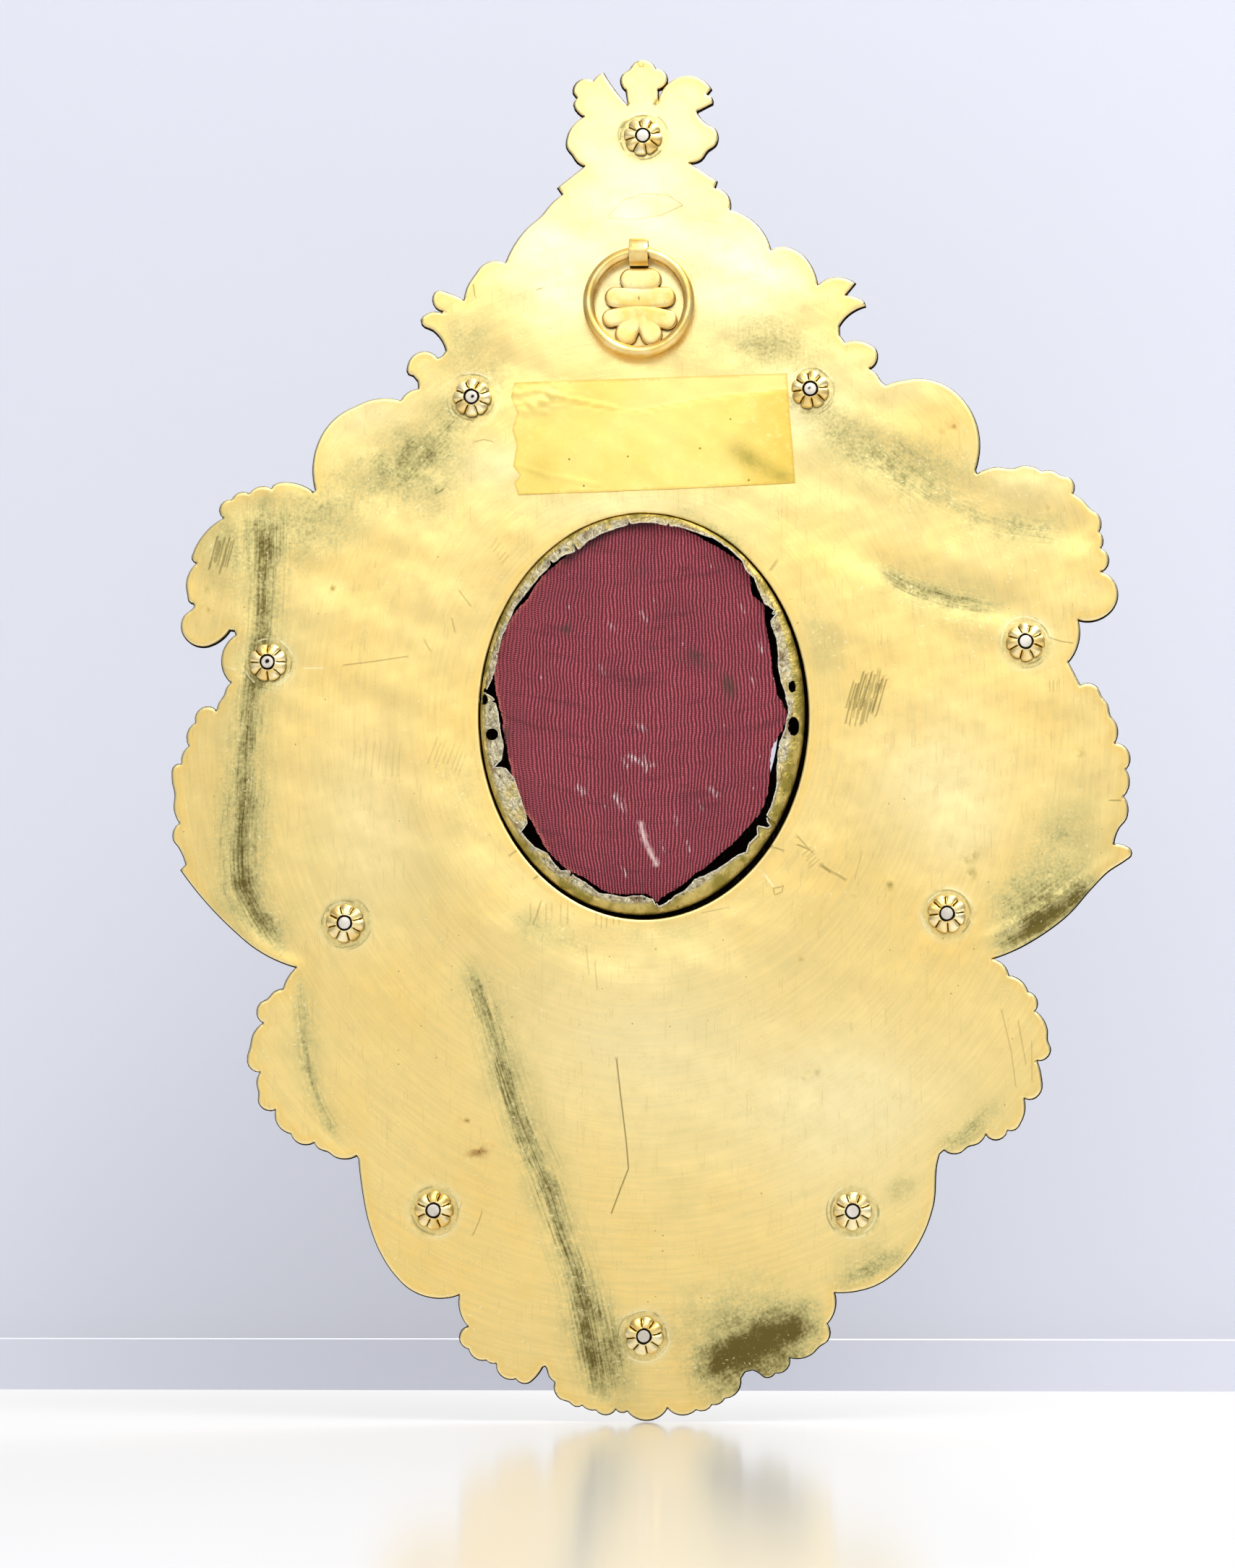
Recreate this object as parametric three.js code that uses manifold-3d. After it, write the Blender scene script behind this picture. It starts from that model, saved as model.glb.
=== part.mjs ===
// Reliquary plaque, seen from its back.
// A scalloped gilt back plate and an embossed front sheet are bolted together by ten studs with
// rosette nuts. An oval opening holds a capsule with a silk panel, and the plaque hangs by a ring.
// Millimetres. +Z is up, -Y is the side with the nuts, and the origin is the pivot of the ring.
import * as THREE from 'three';
import { mergeVertices } from 'three/addons/utils/BufferGeometryUtils.js';
import Module from 'manifold-3d';

const wasm = await Module();
wasm.setup();

// Driving dimensions
const CLEARANCE = 0.3;          // between pieces that touch
const PLATE_FACE_Y = 3.3;       // back face of the gilt plate where it lies flat
const PLATE_THICK = 1.0;
const FRONT_THICK = 0.9;
const FRONT_OVERHANG = 0.25;    // the front sheet is a little larger than the plate
const ARC_ERROR = 0.22;         // how far a rim facet may leave its arc
const MITRE_LIMIT = 0.6;        // keeps sharp rim points short when the outline is grown
const WELD = 1e-4;              // corners nearer than this are one
const CELL_EDGE = 1e-6;         // slack for a place on the edge of a cell
const ROUND_SAMPLES = 12;       // places tried round a circle on a sheet

const OVAL = { x: 0.8, z: -99.2, a: 35.1, b: 43.4 };      // opening in the back plate
const SHEET_REACH = { a: 112, b: 160 };                   // oval that encloses the whole rim
const SECTORS = 40;
const PLATE_RINGS = [0, 0.1, 0.24, 0.46, 0.74, 1.02];     // from the opening out to SHEET_REACH
const WINDOW_RINGS = [-0.085, -0.03];                     // the front sheet runs on to a smaller window
const RIM_CUTTER = { backY: -10, frontY: 30 };

// How the sheets lie: flat behind the hanger and the tape, waving elsewhere
const FLAT_FIELD = { x: 3, z: -22, halfWidth: 33, halfHeight: 34, fade: 24 };
const COLLAR = { rise: 0.7, reach: 1.35, spread: 0.25 };  // soft raised ring round the opening
const MARGIN_LEFT = { from: -80, to: -102, fall: 1.3 };
const MARGIN_RIGHT = { from: 86, to: 108, fall: 1.3 };
const FOOT = { from: -224, to: -250, fall: 1.0 };
const CROWN = { from: 18, to: 44, fall: 0.8 };
const RIPPLE = { height: 0.4, lengthX: 17, lengthZ: 24, phase: 0.6 };

const NUT_RADIUS = 4.1;
const NUT_HEIGHT = 1.9;
const NUT_WALL = 0.55;          // share of the height that is the upright scalloped wall
const NUT_PINCH = 0.1;          // how far the radius falls between two petals, as a share
const NUT_BORE = 1.75;
const NUT_LOBES = 8;
const STUD_RADIUS = 1.45;
const STUD_SIDES = 10;
const STUD_HOLE = { radius: 1.8, sides: 8, backY: -5, frontY: 15 };
const NUT_PLACES = [
  [0.8, 25.7], [-35.9, -30.7], [36.5, -29.6], [-79.4, -87.5], [81.9, -84.0],
  [-62.6, -143.3], [64.9, -141.7], [-43.5, -204.0], [44.8, -204.2], [0.9, -230.3],
];

const RING = { radius: 10.75, wire: 1.2, wireSides: 8, sides: 28 };
const LOOP = { inner: 2.3, outer: 2.95, width: 4.0, sides: 20, neck: 6 };
const FLOWER = { thick: 1.0, faceY: 2.0 };

const CAPSULE = { a: 34.5, b: 42.8, wall: 0.8, backY: 2.1, frontY: 10.3, lip: 0.5, sides: 40 };
const SILK_WINDOW = { z: -98.0, a: 31.0, b: 40.4 };
const SILK = { a: 33.3, b: 41.6, edgeY: 3.1, crownY: 2.5, frontY: 6.4, sides: 32 };
const SILK_SWELL = [{ share: 0.6, down: 0.1 }, { share: 0.9, down: 0.5 }];

const TAPE = { thick: 0.35, gap: 0.35 };

// Rim of the back plate, leaf by leaf, counter-clockwise from the top with +Z up.
// Each entry is [x, z, out]: the edge runs to that point as an arc that stands out by "out".
const RIM_START = [3.4, 40.8];
const CROWN_KNOB = [[-2.1, 40.8, 2.0], [-2.9, 36.3, 1.5], [-2.5, 32.8]];
const CROWN_LEFT = [
  [-7.5, 39.4], [-8.6, 39.8, 0.5], [-10.0, 38.2], [-11.5, 38.8], [-14.2, 35.8, 0.2], [-13.4, 34.7],
  [-14.1, 33.2], [-11.8, 30.5, 0.4], [-14.4, 27.2, 0.2], [-14.5, 22.3, 1.3], [-11.7, 19.6, 0.4],
];
const SHOULDER_LEFT = [
  [-17.5, 15.0], [-16.5, 13.5], [-21.0, 8.9, 0.3], [-28.8, -1.4, 1.0], [-35.3, -3.8, 1.5],
  [-37.7, -9.5, 0.5], [-44.0, -7.7, 0.6], [-44.3, -8.3], [-42.2, -11.7], [-42.4, -12.2],
  [-46.9, -13.5, 0.9], [-46.7, -14.4], [-41.5, -20.3, -1.0], [-43.4, -22.0, -0.3],
  [-49.6, -25.1, 3.0], [-48.6, -25.5], [-47.4, -28.5, -0.5], [-51.3, -31.1, 0.6],
];
const LOBE_UPPER_LEFT = [
  [-61.0, -32.2, 1.0], [-69.1, -40.3, 1.3], [-69.5, -50.3, 0.8], [-70.0, -50.8],
];
const LEAF_LEFT = [
  [-77.8, -48.8, 0.9], [-79.0, -50.0, 0.3], [-83.9, -51.0, 1.0], [-87.6, -52.2, 0.9],
  [-89.3, -56.1, 1.7], [-95.8, -63.3, 0.9], [-95.1, -65.7, 0.7], [-97.0, -72.6, 1.1],
  [-95.7, -74.4, 0.5], [-95.9, -75.6, -0.3], [-97.5, -81.7, 1.6],
  [-91.3, -83.1, 1.2], [-87.9, -80.2, 0.2], [-86.4, -81.4, -0.6], [-87.4, -91.6, 2.6],
];
const FAN_LEFT = [
  [-88.9, -94.3, 0.3], [-90.6, -97.8, 0.3], [-95.1, -100.1, 2.1], [-96.5, -105.1, 1.1],
  [-98.1, -109.0, 0.6], [-99.5, -109.3], [-99.5, -115.3, 0.6], [-98.4, -121.6, 0.7],
  [-98.6, -126.7, 1.4], [-97.0, -130.5], [-98.1, -131.6], [-86.4, -144.7, 0.5],
  [-73.0, -152.5, 1.0],
];
const LEAF_LOWER_LEFT = [
  [-75.9, -157.2, 0.4], [-79.3, -159.4, 0.5], [-80.0, -164.3, 1.8], [-82.9, -169.8, 0.8],
  [-83.1, -173.3, 0.4], [-80.6, -174.7], [-80.9, -179.1, 0.6], [-77.3, -182.6, 1.7],
  [-74.0, -187.7, 1.3], [-69.1, -189.5, 1.3], [-66.2, -191.5, 0.5], [-60.0, -192.3, 1.1],
];
const LOBE_LOWER_LEFT = [
  [-59.5, -193.1], [-57.3, -206.5, 0.3], [-51.5, -217.8, 0.7], [-38.1, -221.6, 2.3],
];
const FAN_BOTTOM_LEFT = [
  [-36.2, -228.4, 0.8], [-36.1, -233.0, 1.9], [-32.5, -235.3, 0.9], [-30.3, -236.0, 0.3],
  [-26.2, -239.2, 1.4], [-22.5, -239.2, 1.0], [-20.7, -236.8], [-19.6, -237.2, -0.5],
  [-17.9, -239.9, 0.4], [-15.0, -244.0, 1.3], [-12.2, -244.7, 0.6], [-9.3, -245.7, 0.4],
  [-5.2, -245.5, 1.1], [-2.7, -245.9, 0.5], [5.7, -245.2, 2.3],
];
const FAN_BOTTOM_RIGHT = [
  [11.7, -245.6, 1.3], [15.0, -244.5, 0.7], [17.7, -243.2, 0.5], [21.0, -239.1, 1.2],
  [25.2, -238.0, -1.3], [28.3, -237.9, 0.9], [31.3, -234.7, 1.2], [37.7, -232.3, 1.1],
  [39.2, -227.7, 1.3], [40.8, -221.1, 0.9],
];
const LOBE_LOWER_RIGHT = [
  [49.5, -219.6, 0.5], [57.3, -212.7, 0.7], [61.6, -203.0, 0.5], [62.6, -193.4, 0.2],
  [64.0, -191.2, -0.4],
];
const LEAF_LOWER_RIGHT = [
  [68.9, -190.6, 1.1], [72.8, -187.9, 0.7], [77.3, -187.1, 1.6], [80.1, -185.5, 0.7],
  [80.8, -180.4, 0.5],
  [84.3, -179.1, 0.8], [83.5, -172.5, 0.5], [85.8, -168.4, 1.7], [83.2, -162.2, 1.0],
  [81.8, -158.2, 1.2], [77.8, -154.8, 0.8], [77.5, -153.8], [74.3, -151.1],
];
const BEAK_RIGHT = [
  [84.7, -146.1, 0.4], [95.4, -136.2, 0.7], [102.9, -130.0, -0.5], [102.9, -127.5, 1.0],
  [100.1, -127.0],
];
const FAN_RIGHT = [
  [101.3, -123.4, -0.2], [102.3, -116.7, 1.4], [102.8, -111.0, 1.0], [100.5, -105.5, 2.0],
  [99.6, -99.6, 1.1], [97.7, -95.4, 0.5], [93.4, -93.3, 1.4], [90.8, -88.2, 0.2],
];
const LEAF_RIGHT = [
  [93.0, -79.1, 1.2], [100.4, -76.8, 1.2], [97.9, -68.9, 2.2], [97.9, -63.9, 1.7],
  [97.6, -60.3, 0.7], [95.9, -55.6, 1.2], [92.1, -52.2, 0.3], [89.7, -48.4, 1.4],
  [85.6, -47.5, 0.6], [79.8, -46.8, 0.9], [71.8, -47.9, 0.8],
];
const LOBE_UPPER_RIGHT = [
  [71.5, -46.9], [72.4, -41.0], [67.1, -30.1, 1.3], [56.9, -27.6, 1.2], [52.5, -28.7],
  [51.5, -27.8],
];
const SHOULDER_RIGHT = [
  [49.0, -24.9, 0.3], [50.5, -21.0, 0.9], [43.9, -19.4, 1.1], [43.9, -13.9, -1.4],
  [48.2, -11.4, -0.2], [48.0, -10.7], [43.9, -9.1, 0.4], [46.0, -6.5, -0.2], [38.1, -6.9, 1.5],
  [35.5, -1.7, 0.6], [28.1, 0.8, 1.8], [19.3, 9.7, 1.8], [16.0, 14.5, 1.4], [16.5, 16.0],
];
const CROWN_RIGHT = [
  [10.6, 20.1, 0.2], [14.7, 22.9, 0.8], [14.4, 28.5, 2.2], [12.4, 30.8, 0.2], [12.3, 31.5],
  [15.6, 33.2], [14.3, 35.1, 0.5], [15.3, 36.3], [9.2, 39.1, 1.1], [4.0, 33.4], [3.9, 36.4],
  [3.4, 40.8, 2.2],
];
const RIM = [
  CROWN_KNOB, CROWN_LEFT, SHOULDER_LEFT, LOBE_UPPER_LEFT, LEAF_LEFT, FAN_LEFT, LEAF_LOWER_LEFT,
  LOBE_LOWER_LEFT, FAN_BOTTOM_LEFT, FAN_BOTTOM_RIGHT, LOBE_LOWER_RIGHT, LEAF_LOWER_RIGHT,
  BEAK_RIGHT, FAN_RIGHT, LEAF_RIGHT, LOBE_UPPER_RIGHT, SHOULDER_RIGHT, CROWN_RIGHT,
];

// Embossing of the front sheet beyond the flange at its rim: [distance out, rise], and the ribs that
// run out from the middle of the oval along directions in degrees.
const RELIEF_PROFILE = [
  [-0.085, 6.3], [-0.03, 7.2], [0, 7.6], [0.1, 3.0], [0.24, 5.6], [0.46, 3.6], [0.74, 1.8],
  [1.02, 0.6],
];
const RIM_FADE = 12;
const RIB_DIRECTIONS = [90, 61, 39, 12, -14, -40, -65, -90, -115, -139, -167, 168, 141, 119];
const RIB_RISE = 1.8;
const RIB_SPREAD = 8;
const RIB_START = { from: 0.15, to: 0.45 };

// Outlines of the flower plate and of the tape, with entries like those of the rim
const FLOWER_START = [-4.3, -7.6];
const FLOWER_PETALS = [
  [-5.6, -11.7, 2.4], [-4.4, -15.7, 2.6], [0, -17.4, 2.6], [4.3, -15.9, 2.5], [5.6, -11.8, 2.7],
  [4.4, -7.6, 2.5], [-4.3, -7.6, 4.5],
];
const TAPE_START = [-26.8, -27.4];
const TAPE_EDGE = [
  [-27.6, -30.6], [-26.2, -34.0], [-27.4, -37.5], [-26.5, -41.0], [-27.3, -45.5], [-25.6, -48.2],
  [-26.0, -51.7], [33.2, -49.5], [31.6, -25.9], [-26.8, -27.4],
];

// Small helpers
function smoothStep(from, to, value) {
  const t = Math.min(Math.max((value - from) / (to - from), 0), 1);
  return t * t * (3 - 2 * t);
}

function fall(margin, value) {
  return margin.fall * smoothStep(margin.from, margin.to, value);
}

function arcPoints(from, to, out) {
  const chord = Math.hypot(to[0] - from[0], to[1] - from[1]);
  if (Math.abs(out) < ARC_ERROR) {
    return [new THREE.Vector2(to[0], to[1])];
  }
  const sweep = 4 * Math.atan(2 * out / chord);
  const radius = chord / (2 * Math.abs(Math.sin(sweep / 2)));
  const step = 2 * Math.acos(1 - Math.min(ARC_ERROR / radius, 1));
  const count = Math.max(2, Math.ceil(Math.abs(sweep) / step));
  const along = [(to[0] - from[0]) / chord, (to[1] - from[1]) / chord];
  const outward = [along[1], -along[0]];
  const points = [];
  for (let i = 1; i <= count; i += 1) {
    const angle = sweep * (i / count - 0.5);
    const forward = chord / 2 + chord / 2 * Math.sin(angle) / Math.sin(sweep / 2);
    const rise = chord / 2 * (Math.cos(angle) - Math.cos(sweep / 2)) / Math.sin(sweep / 2);
    points.push(new THREE.Vector2(
      from[0] + along[0] * forward + outward[0] * rise,
      from[1] + along[1] * forward + outward[1] * rise,
    ));
  }
  return points;
}

function traceOutline(start, entries) {
  const points = [];
  let from = start;
  for (const [x, z, out = 0] of entries) {
    points.push(...arcPoints(from, [x, z], out));
    from = [x, z];
  }
  return points;
}

function growOutline(points, distance) {
  return points.map((point, i) => {
    const before = points[(i + points.length - 1) % points.length];
    const after = points[(i + 1) % points.length];
    const first = new THREE.Vector2(point.y - before.y, before.x - point.x).normalize();
    const second = new THREE.Vector2(after.y - point.y, point.x - after.x).normalize();
    const normal = first.clone().add(second).normalize();
    const reach = distance / Math.max(normal.dot(first), MITRE_LIMIT);
    return point.clone().addScaledVector(normal, reach);
  });
}

function distanceInside(points, x, z) {
  let inside = false;
  let nearest = Infinity;
  for (let i = 0, j = points.length - 1; i < points.length; j = i, i += 1) {
    const a = points[i];
    const b = points[j];
    if ((a.y > z) !== (b.y > z) && x < (b.x - a.x) * (z - a.y) / (b.y - a.y) + a.x) {
      inside = !inside;
    }
    const ex = b.x - a.x;
    const ez = b.y - a.y;
    const t = Math.min(Math.max(((x - a.x) * ex + (z - a.y) * ez) / (ex * ex + ez * ez), 0), 1);
    nearest = Math.min(nearest, Math.hypot(x - a.x - ex * t, z - a.y - ez * t));
  }
  return inside ? nearest : -nearest;
}

function closedGeometry(positions, triangles) {
  const geometry = new THREE.BufferGeometry();
  geometry.setAttribute('position', new THREE.Float32BufferAttribute(positions, 3));
  geometry.setIndex(triangles);
  return geometry;
}

function toSolid(geometry) {
  const bare = geometry.clone();
  bare.deleteAttribute('normal');
  bare.deleteAttribute('uv');
  const merged = mergeVertices(bare, WELD);
  return new wasm.Manifold(new wasm.Mesh({
    numProp: 3,
    vertProperties: new Float32Array(merged.attributes.position.array),
    triVerts: new Uint32Array(merged.index.array),
  }));
}

function toGeometry(solid) {
  const mesh = solid.getMesh();
  const geometry = closedGeometry(Array.from(mesh.vertProperties), Array.from(mesh.triVerts));
  geometry.computeVertexNormals();
  return geometry;
}

// An outline in X and Z, extruded along Y from backY to frontY.
function extrudeAlongY(points, backY, frontY) {
  const geometry = new THREE.ExtrudeGeometry(new THREE.Shape(points), {
    depth: frontY - backY,
    bevelEnabled: false,
  });
  geometry.rotateX(Math.PI / 2);
  geometry.translate(0, frontY, 0);
  return geometry;
}

function cylinderAlongY(radius, backY, frontY, x, z, sides) {
  const geometry = new THREE.CylinderGeometry(radius, radius, frontY - backY, sides);
  geometry.translate(x, (backY + frontY) / 2, z);
  return geometry;
}

// How far the sheets wave towards the front at a place.
function wave(x, z) {
  const aside = Math.max(Math.abs(x - FLAT_FIELD.x) - FLAT_FIELD.halfWidth, 0);
  const above = Math.max(Math.abs(z - FLAT_FIELD.z) - FLAT_FIELD.halfHeight, 0);
  const free = smoothStep(0, FLAT_FIELD.fade, Math.hypot(aside, above));
  const reach = Math.hypot((x - OVAL.x) / OVAL.a, (z - OVAL.z) / OVAL.b);
  const collar = -COLLAR.rise * Math.exp(-(((reach - COLLAR.reach) / COLLAR.spread) ** 2));
  const margins = fall(MARGIN_LEFT, x) + fall(MARGIN_RIGHT, x) + fall(FOOT, z) + fall(CROWN, z);
  const ripple = Math.sin(x / RIPPLE.lengthX + RIPPLE.phase) * Math.cos(z / RIPPLE.lengthZ);
  return free * (collar + margins + RIPPLE.height * ripple);
}

function relief(x, z, t, rim) {
  let next = 1;
  while (next < RELIEF_PROFILE.length - 1 && t > RELIEF_PROFILE[next][0]) {
    next += 1;
  }
  const [fromT, fromR] = RELIEF_PROFILE[next - 1];
  const [toT, toR] = RELIEF_PROFILE[next];
  const base = THREE.MathUtils.mapLinear(t, fromT, toT, fromR, toR);
  const direction = Math.atan2(z - OVAL.z, x - OVAL.x) * 180 / Math.PI;
  let rib = 0;
  for (const axis of RIB_DIRECTIONS) {
    const turn = Math.abs(THREE.MathUtils.euclideanModulo(direction - axis + 180, 360) - 180);
    rib = Math.max(rib, Math.exp(-((turn / RIB_SPREAD) ** 2)));
  }
  const embossed = base + RIB_RISE * rib * smoothStep(RIB_START.from, RIB_START.to, t);
  return embossed * smoothStep(0, RIM_FADE, distanceInside(rim, x, z));
}

// Both sheets are bent on one grid of ovals round the opening, so they stay parallel where they lie
// on each other.
function sheetGrid(rings) {
  const nodes = [];
  for (const t of rings) {
    for (let j = 0; j < SECTORS; j += 1) {
      const angle = 2 * Math.PI * j / SECTORS;
      nodes.push({
        t,
        x: OVAL.x + THREE.MathUtils.lerp(OVAL.a, SHEET_REACH.a, t) * Math.cos(angle),
        z: OVAL.z + THREE.MathUtils.lerp(OVAL.b, SHEET_REACH.b, t) * Math.sin(angle),
      });
    }
  }
  const cells = [];
  for (let k = 0; k + 1 < rings.length; k += 1) {
    for (let j = 0; j < SECTORS; j += 1) {
      const a = k * SECTORS + j;
      const b = k * SECTORS + (j + 1) % SECTORS;
      cells.push([a, a + SECTORS, b + SECTORS], [a, b + SECTORS, b]);
    }
  }
  return { rings, nodes, cells };
}

function bentSheet(grid, heights, thick) {
  const count = grid.nodes.length;
  const positions = [];
  for (const shift of [0, thick]) {
    grid.nodes.forEach((node, i) => positions.push(node.x, heights[i] + shift, node.z));
  }
  const triangles = [];
  for (const [a, b, c] of grid.cells) {
    triangles.push(a, b, c, count + a, count + c, count + b);
  }
  const lastRing = (grid.rings.length - 1) * SECTORS;
  for (let j = 0; j < SECTORS; j += 1) {
    const next = (j + 1) % SECTORS;
    triangles.push(j, next, count + next, j, count + next, count + j);
    const p = lastRing + j;
    const q = lastRing + next;
    triangles.push(p, count + q, q, p, count + p, count + q);
  }
  return toSolid(closedGeometry(positions, triangles));
}

// Height of the faceted sheet at a place, from the cell that holds it.
function heightOn(grid, heights, x, z) {
  for (const [a, b, c] of grid.cells) {
    const [p, q, r] = [grid.nodes[a], grid.nodes[b], grid.nodes[c]];
    const area = (q.x - p.x) * (r.z - p.z) - (r.x - p.x) * (q.z - p.z);
    const u = ((x - p.x) * (r.z - p.z) - (r.x - p.x) * (z - p.z)) / area;
    const v = ((q.x - p.x) * (z - p.z) - (x - p.x) * (q.z - p.z)) / area;
    if (u >= -CELL_EDGE && v >= -CELL_EDGE && u + v <= 1 + CELL_EDGE) {
      return heights[a] + u * (heights[b] - heights[a]) + v * (heights[c] - heights[a]);
    }
  }
  return PLATE_FACE_Y;
}

function lowestRound(grid, heights, x, z, radius) {
  let lowest = heightOn(grid, heights, x, z);
  for (let i = 0; i < ROUND_SAMPLES; i += 1) {
    const angle = 2 * Math.PI * i / ROUND_SAMPLES;
    const y = heightOn(grid, heights, x + radius * Math.cos(angle), z + radius * Math.sin(angle));
    lowest = Math.min(lowest, y);
  }
  return lowest;
}

// Back plate and front relief
const rim = traceOutline(RIM_START, RIM.flat());
const frontRim = growOutline(rim, FRONT_OVERHANG);
const plateGrid = sheetGrid(PLATE_RINGS);
const plateHeights = plateGrid.nodes.map((node) => PLATE_FACE_Y + wave(node.x, node.z));
const frontGrid = sheetGrid([...WINDOW_RINGS, ...PLATE_RINGS]);
const frontHeights = frontGrid.nodes.map((node) => (
  PLATE_FACE_Y + PLATE_THICK + CLEARANCE + wave(node.x, node.z) + relief(node.x, node.z, node.t, rim)
));

function makeBackPlate() {
  let plate = bentSheet(plateGrid, plateHeights, PLATE_THICK);
  plate = plate.intersect(toSolid(extrudeAlongY(rim, RIM_CUTTER.backY, RIM_CUTTER.frontY)));
  const { radius, sides, backY, frontY } = STUD_HOLE;
  for (const [x, z] of NUT_PLACES) {
    plate = plate.subtract(toSolid(cylinderAlongY(radius, backY, frontY, x, z, sides)));
  }
  return toGeometry(plate);
}

function makeFrontRelief() {
  const sheet = bentSheet(frontGrid, frontHeights, FRONT_THICK);
  const outline = extrudeAlongY(frontRim, RIM_CUTTER.backY, RIM_CUTTER.frontY);
  return toGeometry(sheet.intersect(toSolid(outline)));
}

// Studs and rosette nuts
function nutBaseY(x, z) {
  return lowestRound(plateGrid, plateHeights, x, z, NUT_RADIUS) - CLEARANCE;
}

function makeNut() {
  const profile = [
    [NUT_BORE, 0], [NUT_RADIUS, 0], [NUT_RADIUS, -NUT_WALL * NUT_HEIGHT], [NUT_BORE, -NUT_HEIGHT],
    [NUT_BORE, 0],
  ].map(([r, y]) => new THREE.Vector2(r, y));
  const geometry = new THREE.LatheGeometry(profile, 2 * NUT_LOBES);
  const position = geometry.attributes.position;
  for (let i = 0; i < position.count; i += 1) {
    const r = Math.hypot(position.getX(i), position.getZ(i));
    const angle = Math.atan2(position.getZ(i), position.getX(i));
    const valley = 0.5 - 0.5 * Math.cos(NUT_LOBES * angle);
    const pinch = r > NUT_BORE + WELD ? 1 - NUT_PINCH * valley : 1;
    position.setX(i, position.getX(i) * pinch);
    position.setZ(i, position.getZ(i) * pinch);
  }
  return toGeometry(outwards(geometry));
}

function outwards(geometry) {
  const solid = toSolid(geometry);
  if (solid.volume() > 0) {
    return solid;
  }
  const turned = geometry.clone();
  const index = Array.from(turned.index.array);
  for (let i = 0; i < index.length; i += 3) {
    [index[i + 1], index[i + 2]] = [index[i + 2], index[i + 1]];
  }
  turned.setIndex(index);
  return toSolid(turned);
}

function makeStud(x, z, faceY) {
  const frontY = lowestRound(frontGrid, frontHeights, x, z, STUD_RADIUS) - CLEARANCE;
  return cylinderAlongY(STUD_RADIUS, faceY, frontY, 0, 0, STUD_SIDES);
}

// Hanger: a flower plate with a strap bent into a loop, and the ring in it
function makeHanger() {
  const petals = traceOutline(FLOWER_START, FLOWER_PETALS);
  const plate = toSolid(extrudeAlongY(petals, FLOWER.faceY, FLOWER.faceY + FLOWER.thick));
  const half = LOOP.width / 2;
  const profile = [
    [LOOP.inner, -half], [LOOP.outer, -half], [LOOP.outer, half], [LOOP.inner, half],
    [LOOP.inner, -half],
  ].map(([r, along]) => new THREE.Vector2(r, along));
  const loop = new THREE.LatheGeometry(profile, LOOP.sides);
  loop.rotateZ(Math.PI / 2);
  const neck = new THREE.BoxGeometry(LOOP.width, FLOWER.thick, LOOP.neck);
  neck.translate(0, FLOWER.faceY + FLOWER.thick / 2, -LOOP.neck / 2);
  return toGeometry(plate.add(outwards(loop)).add(toSolid(neck)));
}

function makeRing() {
  const geometry = new THREE.TorusGeometry(RING.radius, RING.wire, RING.wireSides, RING.sides);
  geometry.rotateX(Math.PI / 2);
  geometry.translate(0, 0, -RING.radius);
  return geometry;
}

// Capsule and silk: ovals lofted along Y, each [a, b, y, z of its middle]
function ovalLathe(profile, x, sides) {
  const geometry = new THREE.LatheGeometry(profile.map(([a, , y]) => new THREE.Vector2(a, y)), sides);
  const position = geometry.attributes.position;
  for (let i = 0; i < position.count; i += 1) {
    const [a, b, , middle] = profile[i % profile.length];
    const stretch = a > 0 ? b / a : 1;
    position.setX(i, x + position.getX(i));
    position.setZ(i, middle + stretch * position.getZ(i));
  }
  return toGeometry(outwards(geometry));
}

function makeCapsule() {
  const { a, b, wall, backY, frontY, lip, sides } = CAPSULE;
  const z = OVAL.z;
  const window = [SILK_WINDOW.a, SILK_WINDOW.b];
  return ovalLathe([
    [...window, backY, SILK_WINDOW.z], [a, b, backY, z], [a, b, frontY, z],
    [a - wall, b - wall, frontY, z], [a - wall, b - wall, backY + lip, z],
    [...window, backY + lip, SILK_WINDOW.z], [...window, backY, SILK_WINDOW.z],
  ], OVAL.x, sides);
}

function makeSilk() {
  const { a, b, edgeY, crownY, frontY, sides } = SILK;
  const z = OVAL.z;
  const swell = SILK_SWELL.map(({ share, down }) => [share * a, share * b, crownY + down, z]);
  return ovalLathe([
    [0, 0, crownY, z], ...swell, [a, b, edgeY, z], [a, b, frontY, z], [0, 0, frontY, z],
  ], OVAL.x, sides);
}

// Tape patch stuck over the plate between the hanger and the opening
function makeTape() {
  const frontY = PLATE_FACE_Y - TAPE.gap;
  return extrudeAlongY(traceOutline(TAPE_START, TAPE_EDGE), frontY - TAPE.thick, frontY);
}

// Materials
function metal(color, roughness) {
  return new THREE.MeshStandardMaterial({ color, roughness, metalness: 1 });
}

function dull(color, roughness) {
  return new THREE.MeshStandardMaterial({ color, roughness, metalness: 0 });
}

const gilt = metal(0xe8cf85, 0.32);
const tarnishedSilver = metal(0x4a463c, 0.5);
const brass = metal(0xd9b768, 0.35);
const studSilver = metal(0xc0b8a8, 0.4);
const ringBrass = metal(0xc7a65a, 0.3);
const foil = metal(0x9e916a, 0.6);
const silk = dull(0x99384c, 0.8);
const yellowedFilm = dull(0xdcc75c, 0.35);

// Assembly
const plaque = new THREE.Group();

function place(name, geometry, material, x = 0, y = 0, z = 0) {
  const mesh = new THREE.Mesh(geometry, material);
  mesh.name = name;
  mesh.position.set(x, y, z);
  plaque.add(mesh);
}

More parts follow.
